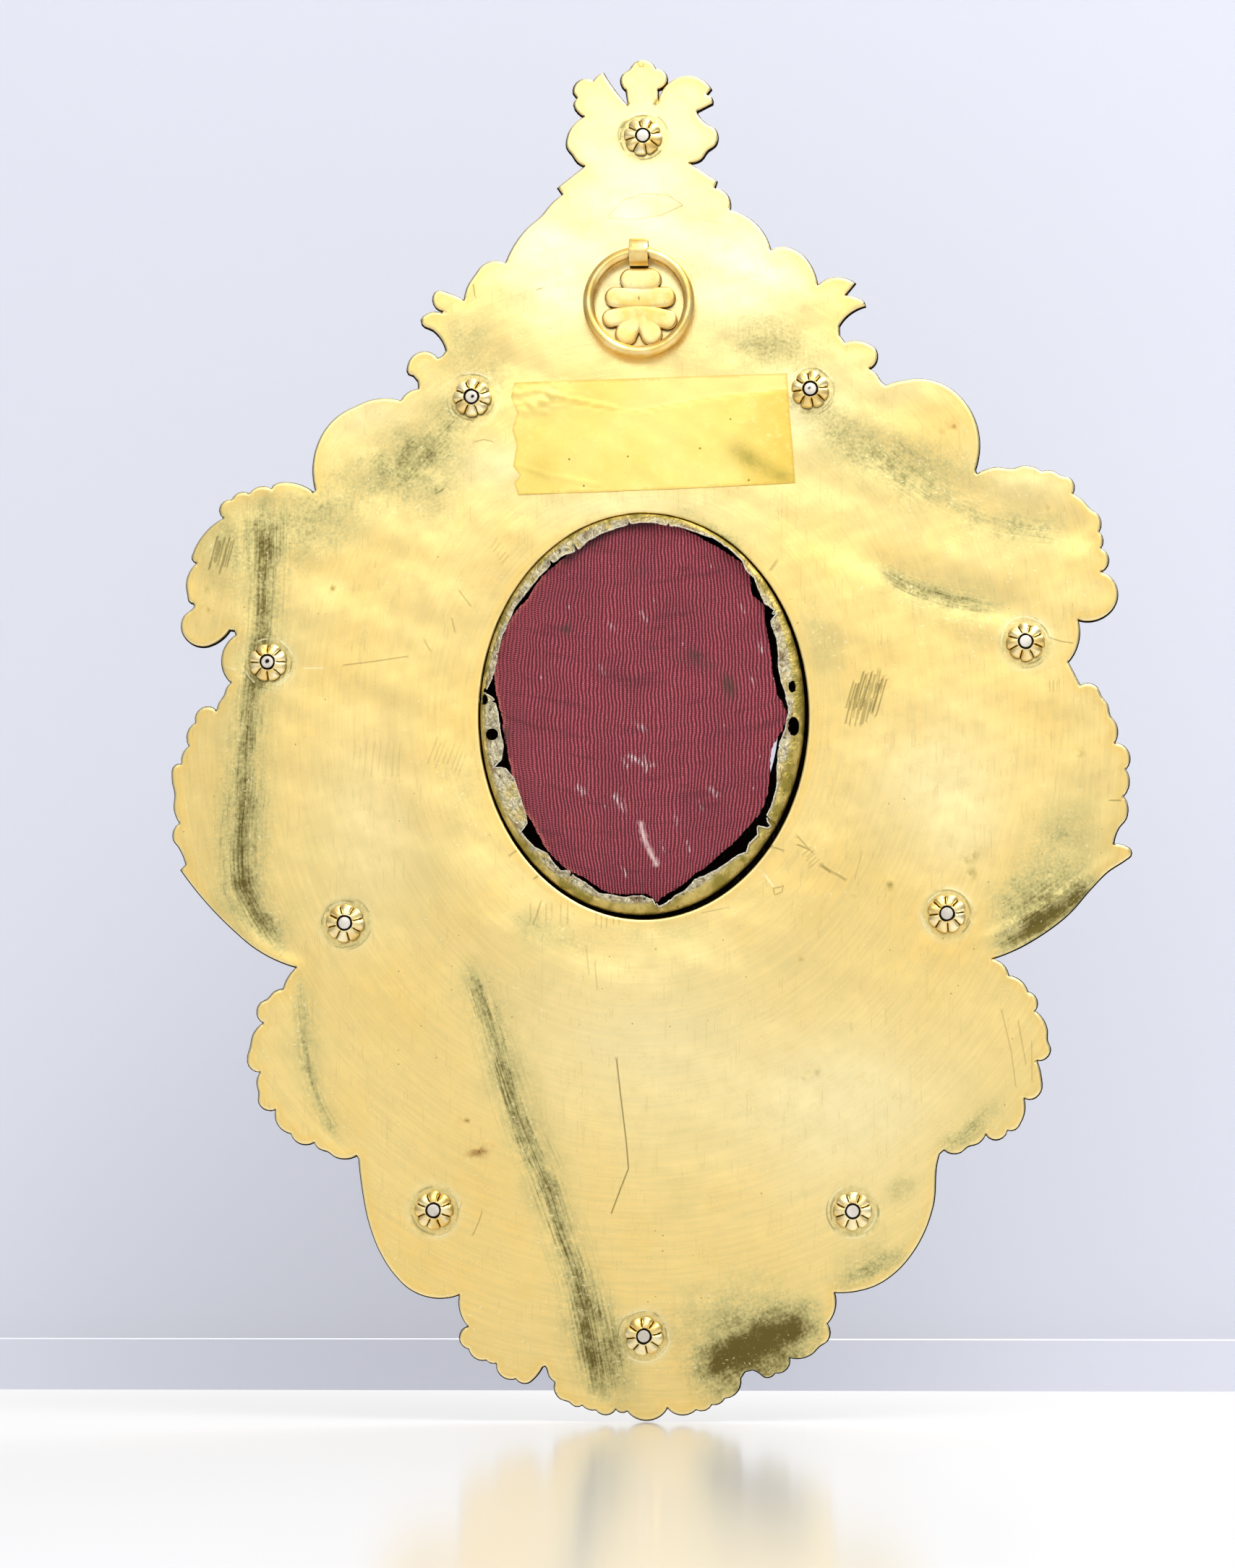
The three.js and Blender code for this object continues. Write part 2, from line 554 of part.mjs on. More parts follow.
place('back_plate', makeBackPlate(), gilt);
place('front_relief', makeFrontRelief(), tarnishedSilver);
NUT_PLACES.forEach(([x, z], i) => {
  const number = String(i + 1).padStart(2, '0');
  const baseY = nutBaseY(x, z);
  place(`rosette_nut_${number}`, makeNut(), brass, x, baseY, z);
  place(`stud_${number}`, makeStud(x, z, baseY - NUT_HEIGHT), studSilver, x, 0, z);
});
place('ring_hanger', makeHanger(), brass);
place('hanging_ring', makeRing(), ringBrass);
place('capsule', makeCapsule(), foil);
place('silk_panel', makeSilk(), silk);
place('tape_patch', makeTape(), yellowedFilm);

export default plaque;
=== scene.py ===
"""Fine model of a reliquary plaque seen from its back, built around the fixed frame."""

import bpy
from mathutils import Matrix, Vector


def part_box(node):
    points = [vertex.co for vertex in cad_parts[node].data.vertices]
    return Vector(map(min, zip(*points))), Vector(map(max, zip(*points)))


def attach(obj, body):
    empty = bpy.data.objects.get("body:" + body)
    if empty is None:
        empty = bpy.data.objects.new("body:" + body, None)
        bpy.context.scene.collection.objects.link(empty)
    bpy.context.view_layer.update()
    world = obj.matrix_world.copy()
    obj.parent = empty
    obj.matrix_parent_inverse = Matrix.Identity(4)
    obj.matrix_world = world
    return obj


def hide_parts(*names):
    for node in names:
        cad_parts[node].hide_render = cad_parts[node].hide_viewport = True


bl_info = {
    "name": "Reliquary plaque",
    "version": (1, 0, 0),
    "blender": (4, 5, 0),
    "location": "3D View > Sidebar > Plaque",
    "description": "Gilt back plate, embossed front sheet, rosette nuts, ring, capsule, silk and tape",
    "category": "Object",
}

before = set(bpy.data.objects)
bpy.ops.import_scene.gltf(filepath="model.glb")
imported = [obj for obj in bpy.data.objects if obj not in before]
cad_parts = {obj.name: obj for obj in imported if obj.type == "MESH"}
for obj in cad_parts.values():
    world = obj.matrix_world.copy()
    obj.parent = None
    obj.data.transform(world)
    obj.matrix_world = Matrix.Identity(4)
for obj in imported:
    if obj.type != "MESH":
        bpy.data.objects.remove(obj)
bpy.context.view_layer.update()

import math
import random

import bmesh
import bpy
import numpy as np
from bpy.props import FloatProperty, FloatVectorProperty, IntProperty, PointerProperty
from mathutils import Matrix, Vector
from mathutils.geometry import delaunay_2d_cdt
from mathutils.kdtree import KDTree

MM = 0.001

# Sizes that the fixed frame has too, in millimetres
PLATE_FACE_Y = 3.3
PLATE_THICK = 1.0
FRONT_THICK = 0.9
CLEARANCE = 0.3
OVAL = {"x": 0.8, "z": -99.2, "a": 35.1, "b": 43.4}
SHEET_REACH = {"a": 112.0, "b": 160.0}
FLAT_FIELD = {"x": 3.0, "z": -22.0, "half_wide": 33.0, "half_high": 34.0, "fade": 24.0}
COLLAR = {"rise": 0.7, "reach": 1.35, "spread": 0.25}
MARGIN_LEFT = (-80.0, -102.0, 1.3)
MARGIN_RIGHT = (86.0, 108.0, 1.3)
FOOT = (-224.0, -250.0, 1.0)
CROWN = (18.0, 44.0, 0.8)
RIPPLE = {"height": 0.4, "length_x": 17.0, "length_z": 24.0, "phase": 0.6}
RELIEF_PROFILE = [
    (-0.085, 6.3), (-0.03, 7.2), (0.0, 7.6), (0.1, 3.0), (0.24, 5.6), (0.46, 3.6), (0.74, 1.8), (1.02, 0.6),
]
RIM_FADE = 12.0
RIB_DIRECTIONS = [90, 61, 39, 12, -14, -40, -65, -90, -115, -139, -167, 168, 141, 119]
RIB_RISE = 1.8
RIB_SPREAD = 8.0
WINDOW_REACH = -0.085
NUT_RADIUS = 4.1
NUT_HEIGHT = 1.9
NUT_BORE = 1.75
STUD_RADIUS = 1.45
STUD_HOLE = 1.8
NUT_PLACES = [
    (0.8, 25.7), (-35.9, -30.7), (36.5, -29.6), (-79.4, -87.5), (81.9, -84.0),
    (-62.6, -143.3), (64.9, -141.7), (-43.5, -204.0), (44.8, -204.2), (0.9, -230.3),
]
RING = {"radius": 10.75, "wire": 1.2}
LOOP = {"inner": 2.3, "outer": 2.95, "width": 4.0}
FLOWER_FACE_Y = 2.0
FLOWER_THICK = 1.0
CAPSULE = {"a": 34.5, "b": 42.8, "back_y": 2.1, "front_y": 10.3}

# The photograph: millimetres per pixel, and the pixel of the ring's pivot
PIXEL = 0.1542
PIVOT_PX = (884.6, 346.0)

# How each nut's petals are turned, in degrees
NUT_TURNS = [12, 20, 8, 0, 26, 15, 4, 22.5, 20, 10]


def spot(px, py):
    """The place in millimetres, (x, z), of a pixel of the photograph."""
    return ((px - PIVOT_PX[0]) * PIXEL, (PIVOT_PX[1] - py) * PIXEL)


def spots(pixels):
    return [spot(px, py) for px, py in pixels]


# Long dull bands where the sheet is creased, partly tarnished gilding and partly painted shade and reflection in the
# creases: route in pixels of the photograph, how far they fade to the left and right of the route in millimetres, how
# dark, and how streaked
BANDS = {
    "left leaf": {
        "route": [(361, 690), (361, 769), (359, 815), (357, 865), (344, 973), (338, 1076), (332, 1149),
                  (334, 1223), (358, 1267), (391, 1317)],
        "fade": (3.2, 2.4), "dark": 0.72, "streak": 0.7,
    },
    "lower left leaf": {
        "route": [(414, 1340), (420, 1418), (427, 1475), (446, 1533), (475, 1583)],
        "fade": (2.0, 1.6), "dark": 0.5, "streak": 0.6,
    },
    "long crease": {
        "route": [(650, 1330), (686, 1445), (722, 1560), (747, 1617), (775, 1698), (795, 1755), (811, 1824),
                  (828, 1917)],
        "fade": (2.6, 2.2), "dark": 0.66, "streak": 1.0,
    },
    "beak": {
        "route": [(1375, 1316), (1420, 1290), (1465, 1258), (1510, 1222)],
        "fade": (3.4, 1.8), "dark": 0.95, "streak": 0.5,
    },
    "right leaf upper": {
        "route": [(1214, 626), (1284, 682), (1382, 725), (1481, 739)],
        "fade": (3.0, 4.0), "dark": 0.42, "streak": 0.5,
    },
    "right leaf lower": {
        "route": [(1208, 781), (1256, 809), (1318, 831), (1382, 842)],
        "fade": (2.2, 2.6), "dark": 0.62, "streak": 0.7,
    },
    "left shoulder": {
        "route": [(701, 501), (640, 560), (586, 616), (538, 670)],
        "fade": (5.0, 4.5), "dark": 0.42, "streak": 0.3,
    },
    "foot": {
        "route": [(960, 1893), (1010, 1868), (1070, 1840), (1125, 1812)],
        "fade": (6.5, 4.0), "dark": 0.95, "streak": 0.25,
    },
    "lower right lobe": {
        "route": [(1150, 1772), (1200, 1752), (1246, 1722)],
        "fade": (3.0, 2.0), "dark": 0.6, "streak": 0.4,
    },
    "lower right leaf": {
        "route": [(1290, 1584), (1330, 1568), (1372, 1530)],
        "fade": (3.0, 2.5), "dark": 0.5, "streak": 0.4,
    },
}

# Dull patches, partly tarnished gilding and partly painted shade and reflection where the sheet bends away: middle in
# pixels, half sizes in millimetres, turn in degrees, how dark
DULL_PATCHES = [
    (430, 720, 12, 10, 0, 0.42), (520, 640, 14, 7, 30, 0.36), (300, 760, 8, 11, 10, 0.25),
    (1075, 470, 11, 7, -15, 0.5), (1180, 600, 14, 8, -25, 0.4), (1300, 640, 15, 6, -10, 0.28),
    (640, 470, 10, 8, 20, 0.3), (930, 480, 10, 5, 0, 0.25), (830, 1850, 5, 11, 15, 0.62),
    (1000, 750, 12, 3.5, -38, 0.45), (1130, 860, 4, 12, 8, 0.25), (760, 1290, 12, 4, -25, 0.25),
    (1460, 1150, 10, 9, 0, 0.3), (1420, 1240, 9, 7, 30, 0.5), (640, 1080, 7, 12, 0, 0.25),
    (1240, 1640, 4, 3, 30, 0.35), (600, 690, 9, 9, 0, 0.25), (1040, 1880, 13, 6, 24, 0.5),
    (330, 1150, 6, 16, 0, 0.28), (1350, 890, 9, 6, 0, 0.16), (905, 1840, 7, 6, 0, 0.25),
    (600, 1660, 7, 7, 0, 0.2), (880, 1290, 20, 4, 0, 0.2),
]

# Patches of deeper, more orange gilding
WARM_PATCHES = [
    (590, 1010, 17, 22, 0, 0.55), (470, 930, 11, 13, 0, 0.35), (360, 560, 12, 8, 0, 0.2),
    (1190, 950, 16, 22, 10, 0.5), (1160, 780, 14, 8, -30, 0.5), (1400, 1000, 13, 14, 0, 0.35),
    (690, 1590, 16, 20, 15, 0.5), (560, 1400, 16, 14, 0, 0.4), (620, 1760, 18, 12, 0, 0.45),
    (1290, 600, 10, 9, 0, 0.45), (1060, 1200, 20, 10, 0, 0.35), (1290, 1290, 12, 7, 0, 0.5),
    (1100, 1420, 22, 18, 0, 0.3), (980, 1650, 18, 14, 0, 0.2), (740, 590, 9, 9, 0, 0.35),
    (900, 440, 26, 22, 0, 0.2), (520, 760, 14, 8, 0, 0.4), (1420, 800, 8, 8, 0, 0.25),
]

# Patches where the light lies on the sheet
PALE_PATCHES = [
    (880, 300, 16, 20, 0, 0.8), (760, 360, 9, 14, 30, 1.0), (1030, 370, 12, 12, -30, 1.0),
    (1110, 560, 9, 9, 0, 0.7), (500, 560, 12, 6, 10, 0.45), (1290, 1080, 14, 12, 0, 0.5),
    (900, 1450, 30, 22, 0, 0.45), (1150, 1560, 22, 18, 0, 0.45), (1180, 1500, 20, 12, 0, 0.4),
    (520, 1130, 12, 20, 0, 0.35), (700, 640, 12, 5, 0, 0.5), (870, 700, 20, 4, 0, 0.4),
    (1420, 650, 12, 7, 0, 0.35), (1250, 520, 10, 5, 0, 0.4), (430, 480, 10, 5, 0, 0.3),
    (1330, 1160, 10, 6, 30, 0.3),
]

# Spots and stains: middle in pixels, half sizes in millimetres, turn in degrees, depth
GREEN_SPOTS = [
    (1228, 1222, 0.7, 1.3, 8, 0.9), (1337, 1188, 2.2, 1.2, 30, 0.55), (1340, 1210, 0.9, 1.2, 0, 0.6),
    (1112, 1485, 0.5, 1.0, 0, 0.8), (1128, 1480, 0.5, 0.8, 0, 0.5), (1478, 700, 0.6, 0.6, 0, 0.4),
    (284, 812, 0.5, 0.4, 0, 0.8), (286, 838, 0.3, 0.8, 0, 0.8), (460, 810, 0.3, 0.7, -30, 0.9),
    (312, 770, 0.3, 0.3, 0, 0.7), (268, 792, 0.3, 0.3, 0, 0.6), (1490, 1045, 0.9, 0.9, 0, 0.5),
]
BROWN_SPOTS = [
    (664, 1588, 1.9, 0.8, 18, 1.0), (668, 1573, 0.7, 0.35, 0, 0.8), (646, 1546, 0.8, 0.35, 0, 0.9),
    (660, 1544, 0.8, 0.25, 15, 0.7), (1318, 589, 0.9, 0.5, -20, 0.9), (1302, 598, 0.35, 0.35, 0, 0.8),
    (1446, 705, 0.35, 0.6, 0, 0.8), (1105, 1327, 0.25, 0.45, 30, 0.9), (1216, 1357, 0.2, 0.4, -15, 0.7),
    (777, 1708, 0.5, 0.3, 70, 0.7), (755, 1668, 0.3, 0.3, 0, 0.5), (1180, 1240, 0.2, 0.4, 0, 0.6),
]

# Scratches and engraved lines: route in pixels, width in millimetres, depth of colour
SCRATCHES = [
    ([(853, 1465), (858, 1510), (866, 1575), (869, 1612), (858, 1640), (846, 1672)], 0.16, 0.75),
    ([(420, 921), (445, 921)], 0.16, -0.6), ([(475, 917), (510, 913), (560, 906)], 0.12, 0.5),
    ([(653, 385), (655, 400)], 0.16, 0.6), ([(742, 393), (748, 391)], 0.2, 0.5),
    ([(602, 678), (611, 673)], 0.2, 0.6), ([(657, 606), (668, 603), (680, 606)], 0.14, 0.4),
    ([(1530, 1109), (1545, 1109)], 0.16, 0.6), ([(1450, 885), (1465, 890), (1480, 892)], 0.14, 0.5),
    ([(840, 292), (862, 268), (892, 259), (925, 262), (945, 276)], 0.14, 0.4),
    ([(840, 292), (872, 296), (915, 290), (945, 276)], 0.14, 0.35),
    ([(882, 70), (884, 78), (890, 78), (890, 71)], 0.2, 0.6),
    ([(1066, 788), (1073, 778)], 0.5, 0.4), ([(1057, 1168), (1080, 1176)], 0.2, 0.5),
    ([(1102, 1169), (1118, 1176)], 0.2, 0.6), ([(1104, 1160), (1122, 1180)], 0.14, 0.5),
    ([(1136, 1199), (1146, 1206)], 0.5, 0.55), ([(1155, 1210), (1166, 1217)], 0.4, 0.4),
    ([(1058, 1212), (1068, 1226)], 0.22, -0.8), ([(1068, 1229), (1082, 1226), (1080, 1234), (1070, 1238), (1068, 1229)], 0.12, 0.5),
    ([(748, 1248), (742, 1268), (738, 1277)], 0.2, 0.45), ([(636, 1670), (640, 1660)], 0.14, 0.3),
    ([(656, 1702), (664, 1684), (668, 1672)], 0.12, 0.45), ([(635, 815), (650, 835)], 0.18, 0.4),
    ([(625, 855), (628, 868)], 0.18, 0.4), ([(588, 886), (593, 895)], 0.18, 0.4),
    ([(706, 1182), (714, 1176)], 0.3, 0.45), ([(740, 1214), (749, 1208)], 0.35, 0.5),
    ([(1380, 1400), (1392, 1452), (1398, 1500)], 0.12, 0.35), ([(1402, 1412), (1412, 1470)], 0.12, 0.35),
    ([(1420, 1440), (1420, 1490)], 0.12, 0.3), ([(310, 918), (322, 922)], 0.16, -0.5),
    ([(811, 1310), (815, 1345)], 0.12, 0.3), ([(823, 1330), (826, 1362)], 0.12, 0.3),
    ([(1190, 1180), (1180, 1215)], 0.1, 0.25), ([(970, 1262), (1005, 1255)], 0.14, 0.3),
]

# Groups of short parallel strokes: middle in pixels, half length and half width of the group in
# millimetres, turn in degrees from upright, number of strokes, depth of colour
STROKE_GROUPS = [
    (303, 762, 4.2, 1.9, 14, 11, 0.7), (1196, 962, 4.6, 3.2, 16, 13, 0.8), (1186, 985, 3.2, 2.0, 12, 8, 0.6),
    (1208, 945, 2.4, 1.6, 10, 6, 0.55), (620, 1045, 4.0, 3.6, 20, 8, 0.25), (760, 1262, 2.0, 4.0, 0, 6, 0.25),
    (840, 1272, 1.4, 2.4, 0, 5, 0.35), (1120, 1186, 1.4, 1.4, 50, 5, 0.35), (1066, 1140, 1.5, 1.5, 35, 5, 0.3),
    (1455, 950, 1.4, 1.0, 0, 4, 0.3), (520, 1050, 5.0, 5.0, 5, 8, 0.16), (690, 760, 1.4, 2.0, 40, 5, 0.3),
]

# Back of the silk, in pixels of the photograph, clockwise from the top
SILK_EDGE = [
    (922, 719), (950, 733), (983, 751), (1010, 768), (1033, 784), (1038, 803), (1040, 822), (1056, 837),
    (1058, 860), (1065, 901), (1068, 930), (1074, 959), (1082, 975), (1088, 990), (1080, 1012), (1067, 1037),
    (1064, 1070), (1060, 1100), (1050, 1125), (1036, 1141), (1018, 1162), (997, 1180), (980, 1196),
    (961, 1209), (940, 1226), (916, 1240), (908, 1247), (895, 1236), (870, 1236), (840, 1233), (808, 1213),
    (783, 1200), (758, 1176), (738, 1140), (719, 1109), (708, 1065), (699, 1023), (694, 990), (688, 966),
    (684, 940), (686, 905), (695, 880), (704, 859), (714, 842), (728, 828), (740, 808), (752, 793),
    (776, 773), (801, 751), (826, 734), (854, 723), (890, 720),
]

# Inner edge of the folded foil tabs, in pixels of the photograph, clockwise from the top
TAB_EDGE = [
    (870, 724), (885, 722), (905, 722), (923, 727), (940, 728), (955, 733), (975, 740), (990, 744),
    (1003, 748), (1008, 757), (1016, 764), (1022, 768), (1028, 777), (1033, 790), (1044, 800),
    (1050, 818), (1058, 836), (1072, 845), (1084, 844), (1068, 850), (1066, 866), (1074, 884), (1076, 905),
    (1076, 925), (1080, 945), (1086, 962), (1090, 985), (1085, 1010), (1077, 1030), (1074, 1060),
    (1074, 1090), (1067, 1115), (1058, 1134), (1072, 1141), (1060, 1147), (1047, 1144), (1048, 1156),
    (1036, 1168), (1032, 1180), (1020, 1184), (1003, 1196), (988, 1205), (975, 1211), (960, 1217),
    (948, 1232), (933, 1240), (926, 1248), (908, 1256), (902, 1244), (888, 1238), (862, 1241), (846, 1238),
    (828, 1235), (812, 1222), (796, 1212), (790, 1204), (776, 1204), (766, 1192), (757, 1180),
    (740, 1172), (728, 1160), (720, 1148), (730, 1140), (728, 1125), (720, 1100), (712, 1076), (700, 1062),
    (684, 1060), (694, 1050), (697, 1030), (692, 1008), (690, 985), (684, 966), (670, 958), (679, 940),
    (685, 925), (688, 905), (694, 880), (702, 862), (712, 838), (724, 824), (738, 806), (752, 790),
    (764, 778), (782, 766), (797, 762), (812, 748), (834, 736), (852, 730),
]

# Where the tabs are cut apart, in pixels, and how far each tab then stands up, in millimetres
TAB_CUTS = [
    (1004, 750, 0.05), (1083, 845, 0.55), (1070, 1141, 0.15), (1036, 1170, 0.6), (926, 1246, 0.25),
    (908, 1252, 0.5), (792, 1206, 0.2), (726, 1146, 0.45), (688, 1060, 0.1), (662, 968, 0.5),
    (690, 905, 0.15), (764, 780, 0.3), (797, 758, 0.5), (870, 722, 0.15), (925, 722, 0.6),
]
# Torn holes in the foil, in pixels: middle and half sizes
TAB_HOLES = [
    (1095, 951, 5, 8), (1097, 1006, 8, 13), (681, 1015, 8.5, 8), (670, 967, 5, 7.5), (671, 954, 2.2, 3),
    (1068, 762, 3, 3),
]
# Gap between the capsule and the opening: direction in degrees, gap in millimetres, bend of the fold
CAPSULE_FIT = [
    (-180, 0.35, 0.8), (-150, 0.45, 1.0), (-120, 0.6, 1.6), (-90, 0.95, 2.2), (-60, 1.35, 2.8),
    (-30, 1.1, 2.8), (0, 0.8, 2.4), (30, 0.55, 1.6), (60, 0.3, 0.8), (90, 0.25, 0.6), (130, 0.25, 0.6),
    (180, 0.35, 0.8),
]

# Marks on the silk: route in pixels, half width in millimetres, strength
SILK_PALE = [
    ([(843, 862), (851, 872)], 0.5, 0.5), ([(886, 846), (894, 857)], 0.5, 0.6),
    ([(830, 920), (837, 934)], 0.5, 0.45), ([(880, 1000), (892, 1010)], 0.6, 0.7),
    ([(872, 1046), (884, 1055), (902, 1058)], 0.7, 1.0), ([(862, 1050), (868, 1060)], 0.5, 0.8),
    ([(890, 1045), (894, 1066)], 0.5, 0.9), ([(800, 1088), (808, 1098)], 0.6, 0.8),
    ([(850, 1100), (858, 1116)], 0.7, 0.9), ([(860, 1105), (864, 1122)], 0.5, 0.8),
    ([(982, 1090), (990, 1102)], 0.6, 0.8), ([(886, 1138), (890, 1156), (898, 1176), (908, 1196)], 0.62, 2.0),
    ([(915, 1164), (917, 1176)], 0.35, 0.9), ([(950, 1164), (953, 1178)], 0.35, 0.8),
    ([(1024, 836), (1029, 848)], 0.4, 0.5), ([(1049, 888), (1054, 902)], 0.5, 0.8),
    ([(1038, 938), (1043, 950)], 0.4, 0.7), ([(862, 1202), (866, 1210)], 0.4, 0.7),
    ([(968, 1110), (971, 1124)], 0.35, 0.6), ([(934, 1128), (936, 1140)], 0.35, 0.6),
]
SILK_STAINS = [
    (783, 869, 1.1, 0.9, 20, 1.0), (961, 907, 1.9, 1.2, -25, 0.8), (1008, 950, 1.4, 2.6, 15, 0.95),
    (904, 896, 0.9, 0.6, 0, 0.5), (940, 915, 3.5, 0.5, -14, 0.35), (968, 918, 4.0, 1.0, -12, 0.4),
    (700, 1015, 0.8, 2.0, 0, 0.8), (890, 790, 3.0, 1.2, 0, 0.2),
]
SILK_FOLD = [(1083, 1080), (1070, 1109), (1045, 1140), (1010, 1172), (979, 1195), (945, 1222)]

# Tape: outline in pixels, clockwise from the upper left corner
TAPE_EDGE = [
    (711, 523.6), (1089.5, 514), (1092, 560), (1096, 610), (1100, 667), (1090, 668), (950, 674), (830, 678),
    (716, 681), (711, 664), (719, 654), (709, 641), (714, 612), (708, 589), (715, 566), (706, 544),
]


# Numbers and curves
def linear(red, green, blue):
    """A colour as the eye reads it, turned into the linear values that shaders take."""
    return tuple(c / 12.92 if c <= 0.04045 else ((c + 0.055) / 1.055) ** 2.4 for c in (red, green, blue))


def smooth_step(start, end, value):
    t = np.clip((value - start) / (end - start), 0.0, 1.0)
    return t * t * (3 - 2 * t)


def bell(value, spread):
    return np.exp(-((value / spread) ** 2))


def unevenness(x, z, length, seed, waves=14):
    """A smooth, irregular up and down between about -1 and 1, with that typical length."""
    dice = np.random.default_rng(seed)
    total = np.zeros_like(x)
    for _ in range(waves):
        turn = dice.uniform(0, 2 * math.pi)
        step = 2 * math.pi / (length * dice.uniform(0.7, 2.0))
        total += np.sin(step * (x * math.cos(turn) + z * math.sin(turn)) + dice.uniform(0, 6.28))
    return total / math.sqrt(waves)


def patch(x, z, middle_x, middle_z, half_x, half_z, turn):
    """A soft oval patch, 1 in its middle."""
    cos, sin = math.cos(math.radians(turn)), math.sin(math.radians(turn))
    across = ((x - middle_x) * cos + (z - middle_z) * sin) / half_x
    along = ((z - middle_z) * cos - (x - middle_x) * sin) / half_z
    return np.exp(-(across ** 2 + along ** 2))


def from_route(x, z, route):
    """Distance to a route, negative on its left, and the length along it, for every place."""
    best = np.full(len(x), 1e9)
    side = np.ones(len(x))
    along = np.zeros(len(x))
    walked = 0.0
    for (ax, az), (bx, bz) in zip(route, route[1:]):
        ex, ez = bx - ax, bz - az
        length = math.hypot(ex, ez)
        t = ((x - ax) * ex + (z - az) * ez) / length ** 2
        held = np.clip(t, 0, 1)
        gap = np.hypot(x - ax - ex * held, z - az - ez * held)
        nearer = gap < best
        best = np.where(nearer, gap, best)
        side = np.where(nearer, np.where(ex * (z - az) - ez * (x - ax) > 0, -1.0, 1.0), side)
        along = np.where(nearer, walked + t * length, along)
        walked += length
    return best * side, along


def resample(route, step):
    """Places along a route about that far apart."""
    made = []
    for (ax, az), (bx, bz) in zip(route, route[1:]):
        count = max(1, round(math.hypot(bx - ax, bz - az) / step))
        made += [(ax + (bx - ax) * i / count, az + (bz - az) * i / count) for i in range(count)]
    return made + [route[-1]]


def soft_route(route, step):
    """A Catmull-Rom curve through an open route."""
    ends = [route[0], *route, route[-1]]
    made = []
    for p, q, r, s in zip(ends, ends[1:], ends[2:], ends[3:]):
        count = max(1, round(math.dist(q, r) / step))
        for i in range(count):
            t = i / count
            made.append(tuple(
                0.5 * (2 * b + (c - a) * t + (2 * a - 5 * b + 4 * c - d) * t * t + (3 * b - a - 3 * c + d) * t ** 3)
                for a, b, c, d in zip(p, q, r, s)
            ))
    return made + [route[-1]]


def closed_curve(points, step):
    """The same curve through a closed outline."""
    count = len(points)
    made = []
    for i in range(count):
        p, q, r, s = (points[(i + k - 1) % count] for k in range(4))
        parts = max(1, round(math.dist(q, r) / step))
        for k in range(parts):
            t = k / parts
            made.append(tuple(
                0.5 * (2 * b + (c - a) * t + (2 * a - 5 * b + 4 * c - d) * t * t + (3 * b - a - 3 * c + d) * t ** 3)
                for a, b, c, d in zip(p, q, r, s)
            ))
    return made


def rounded_rim(points, step):
    """A faceted rim made round again: bends stay round, and the points between two leaves stay sharp."""
    count = len(points)
    turn_of, angle_of, length_of = [], [], []
    for i in range(count):
        (ax, az), (bx, bz) = points[i], points[(i + 1) % count]
        angle_of.append(math.atan2(bz - az, bx - ax))
        length_of.append(math.hypot(bx - ax, bz - az))
    for i in range(count):
        turn = (angle_of[i] - angle_of[i - 1] + math.pi) % (2 * math.pi) - math.pi
        turn_of.append(turn)
    made = []
    for i in range(count):
        j = (i + 1) % count
        chord, length = angle_of[i], length_of[i]

        def slope(k):
            if not -25 < math.degrees(turn_of[k]) < 70:
                return None
            before, after = length_of[k - 1], length_of[k]
            return angle_of[k - 1] + turn_of[k] * before / (before + after)

        start, end = slope(i), slope(j)
        from_chord = None if start is None else (start - chord + math.pi) % (2 * math.pi) - math.pi
        to_chord = None if end is None else (end - chord + math.pi) % (2 * math.pi) - math.pi
        if from_chord is None:
            from_chord = -to_chord if to_chord is not None else 0.0
        if to_chord is None:
            to_chord = -from_chord
        bend = (abs(from_chord) + abs(to_chord)) / 4
        handle = length / 3 / math.cos(bend) ** 2
        (ax, az), (bx, bz) = points[i], points[j]
        px, pz = ax + handle * math.cos(chord + from_chord), az + handle * math.sin(chord + from_chord)
        qx, qz = bx - handle * math.cos(chord + to_chord), bz - handle * math.sin(chord + to_chord)
        parts = max(1, round(length / step))
        for k in range(parts):
            t = k / parts
            s = 1 - t
            made.append((
                s ** 3 * ax + 3 * s * s * t * px + 3 * s * t * t * qx + t ** 3 * bx,
                s ** 3 * az + 3 * s * s * t * pz + 3 * s * t * t * qz + t ** 3 * bz,
            ))
    return made


def oval_loop(a, b, count, x=OVAL["x"], z=OVAL["z"]):
    """A closed oval, clockwise, as the edge of a hole is."""
    return [(x + a * math.cos(-2 * math.pi * i / count), z + b * math.sin(-2 * math.pi * i / count))
            for i in range(count)]


def rows_beside(loop, distances, step):
    """Rows of places beside a loop, on its left, with their distance from it."""
    curve = np.array(loop)
    ahead = np.roll(curve, -1, 0) - np.roll(curve, 1, 0)
    ahead /= np.linalg.norm(ahead, axis=1)[:, None] + 1e-9
    inward = np.stack([-ahead[:, 1], ahead[:, 0]], 1)
    near = nearest_to(loop)
    made = []
    for distance in distances:
        last = None
        for x, z in curve + inward * distance:
            if near(x, z) > 0.93 * distance and (last is None or math.dist(last, (x, z)) > 0.6 * step):
                made.append((x, z, distance))
                last = (x, z)
    return made


def nearest_to(places):
    """A measure of the distance from any place to the nearest of these places."""
    tree = KDTree(len(places))
    for i, place in enumerate(places):
        tree.insert((place[0], place[1], 0), i)
    tree.balance()
    return lambda x, z: tree.find((x, z, 0))[2]


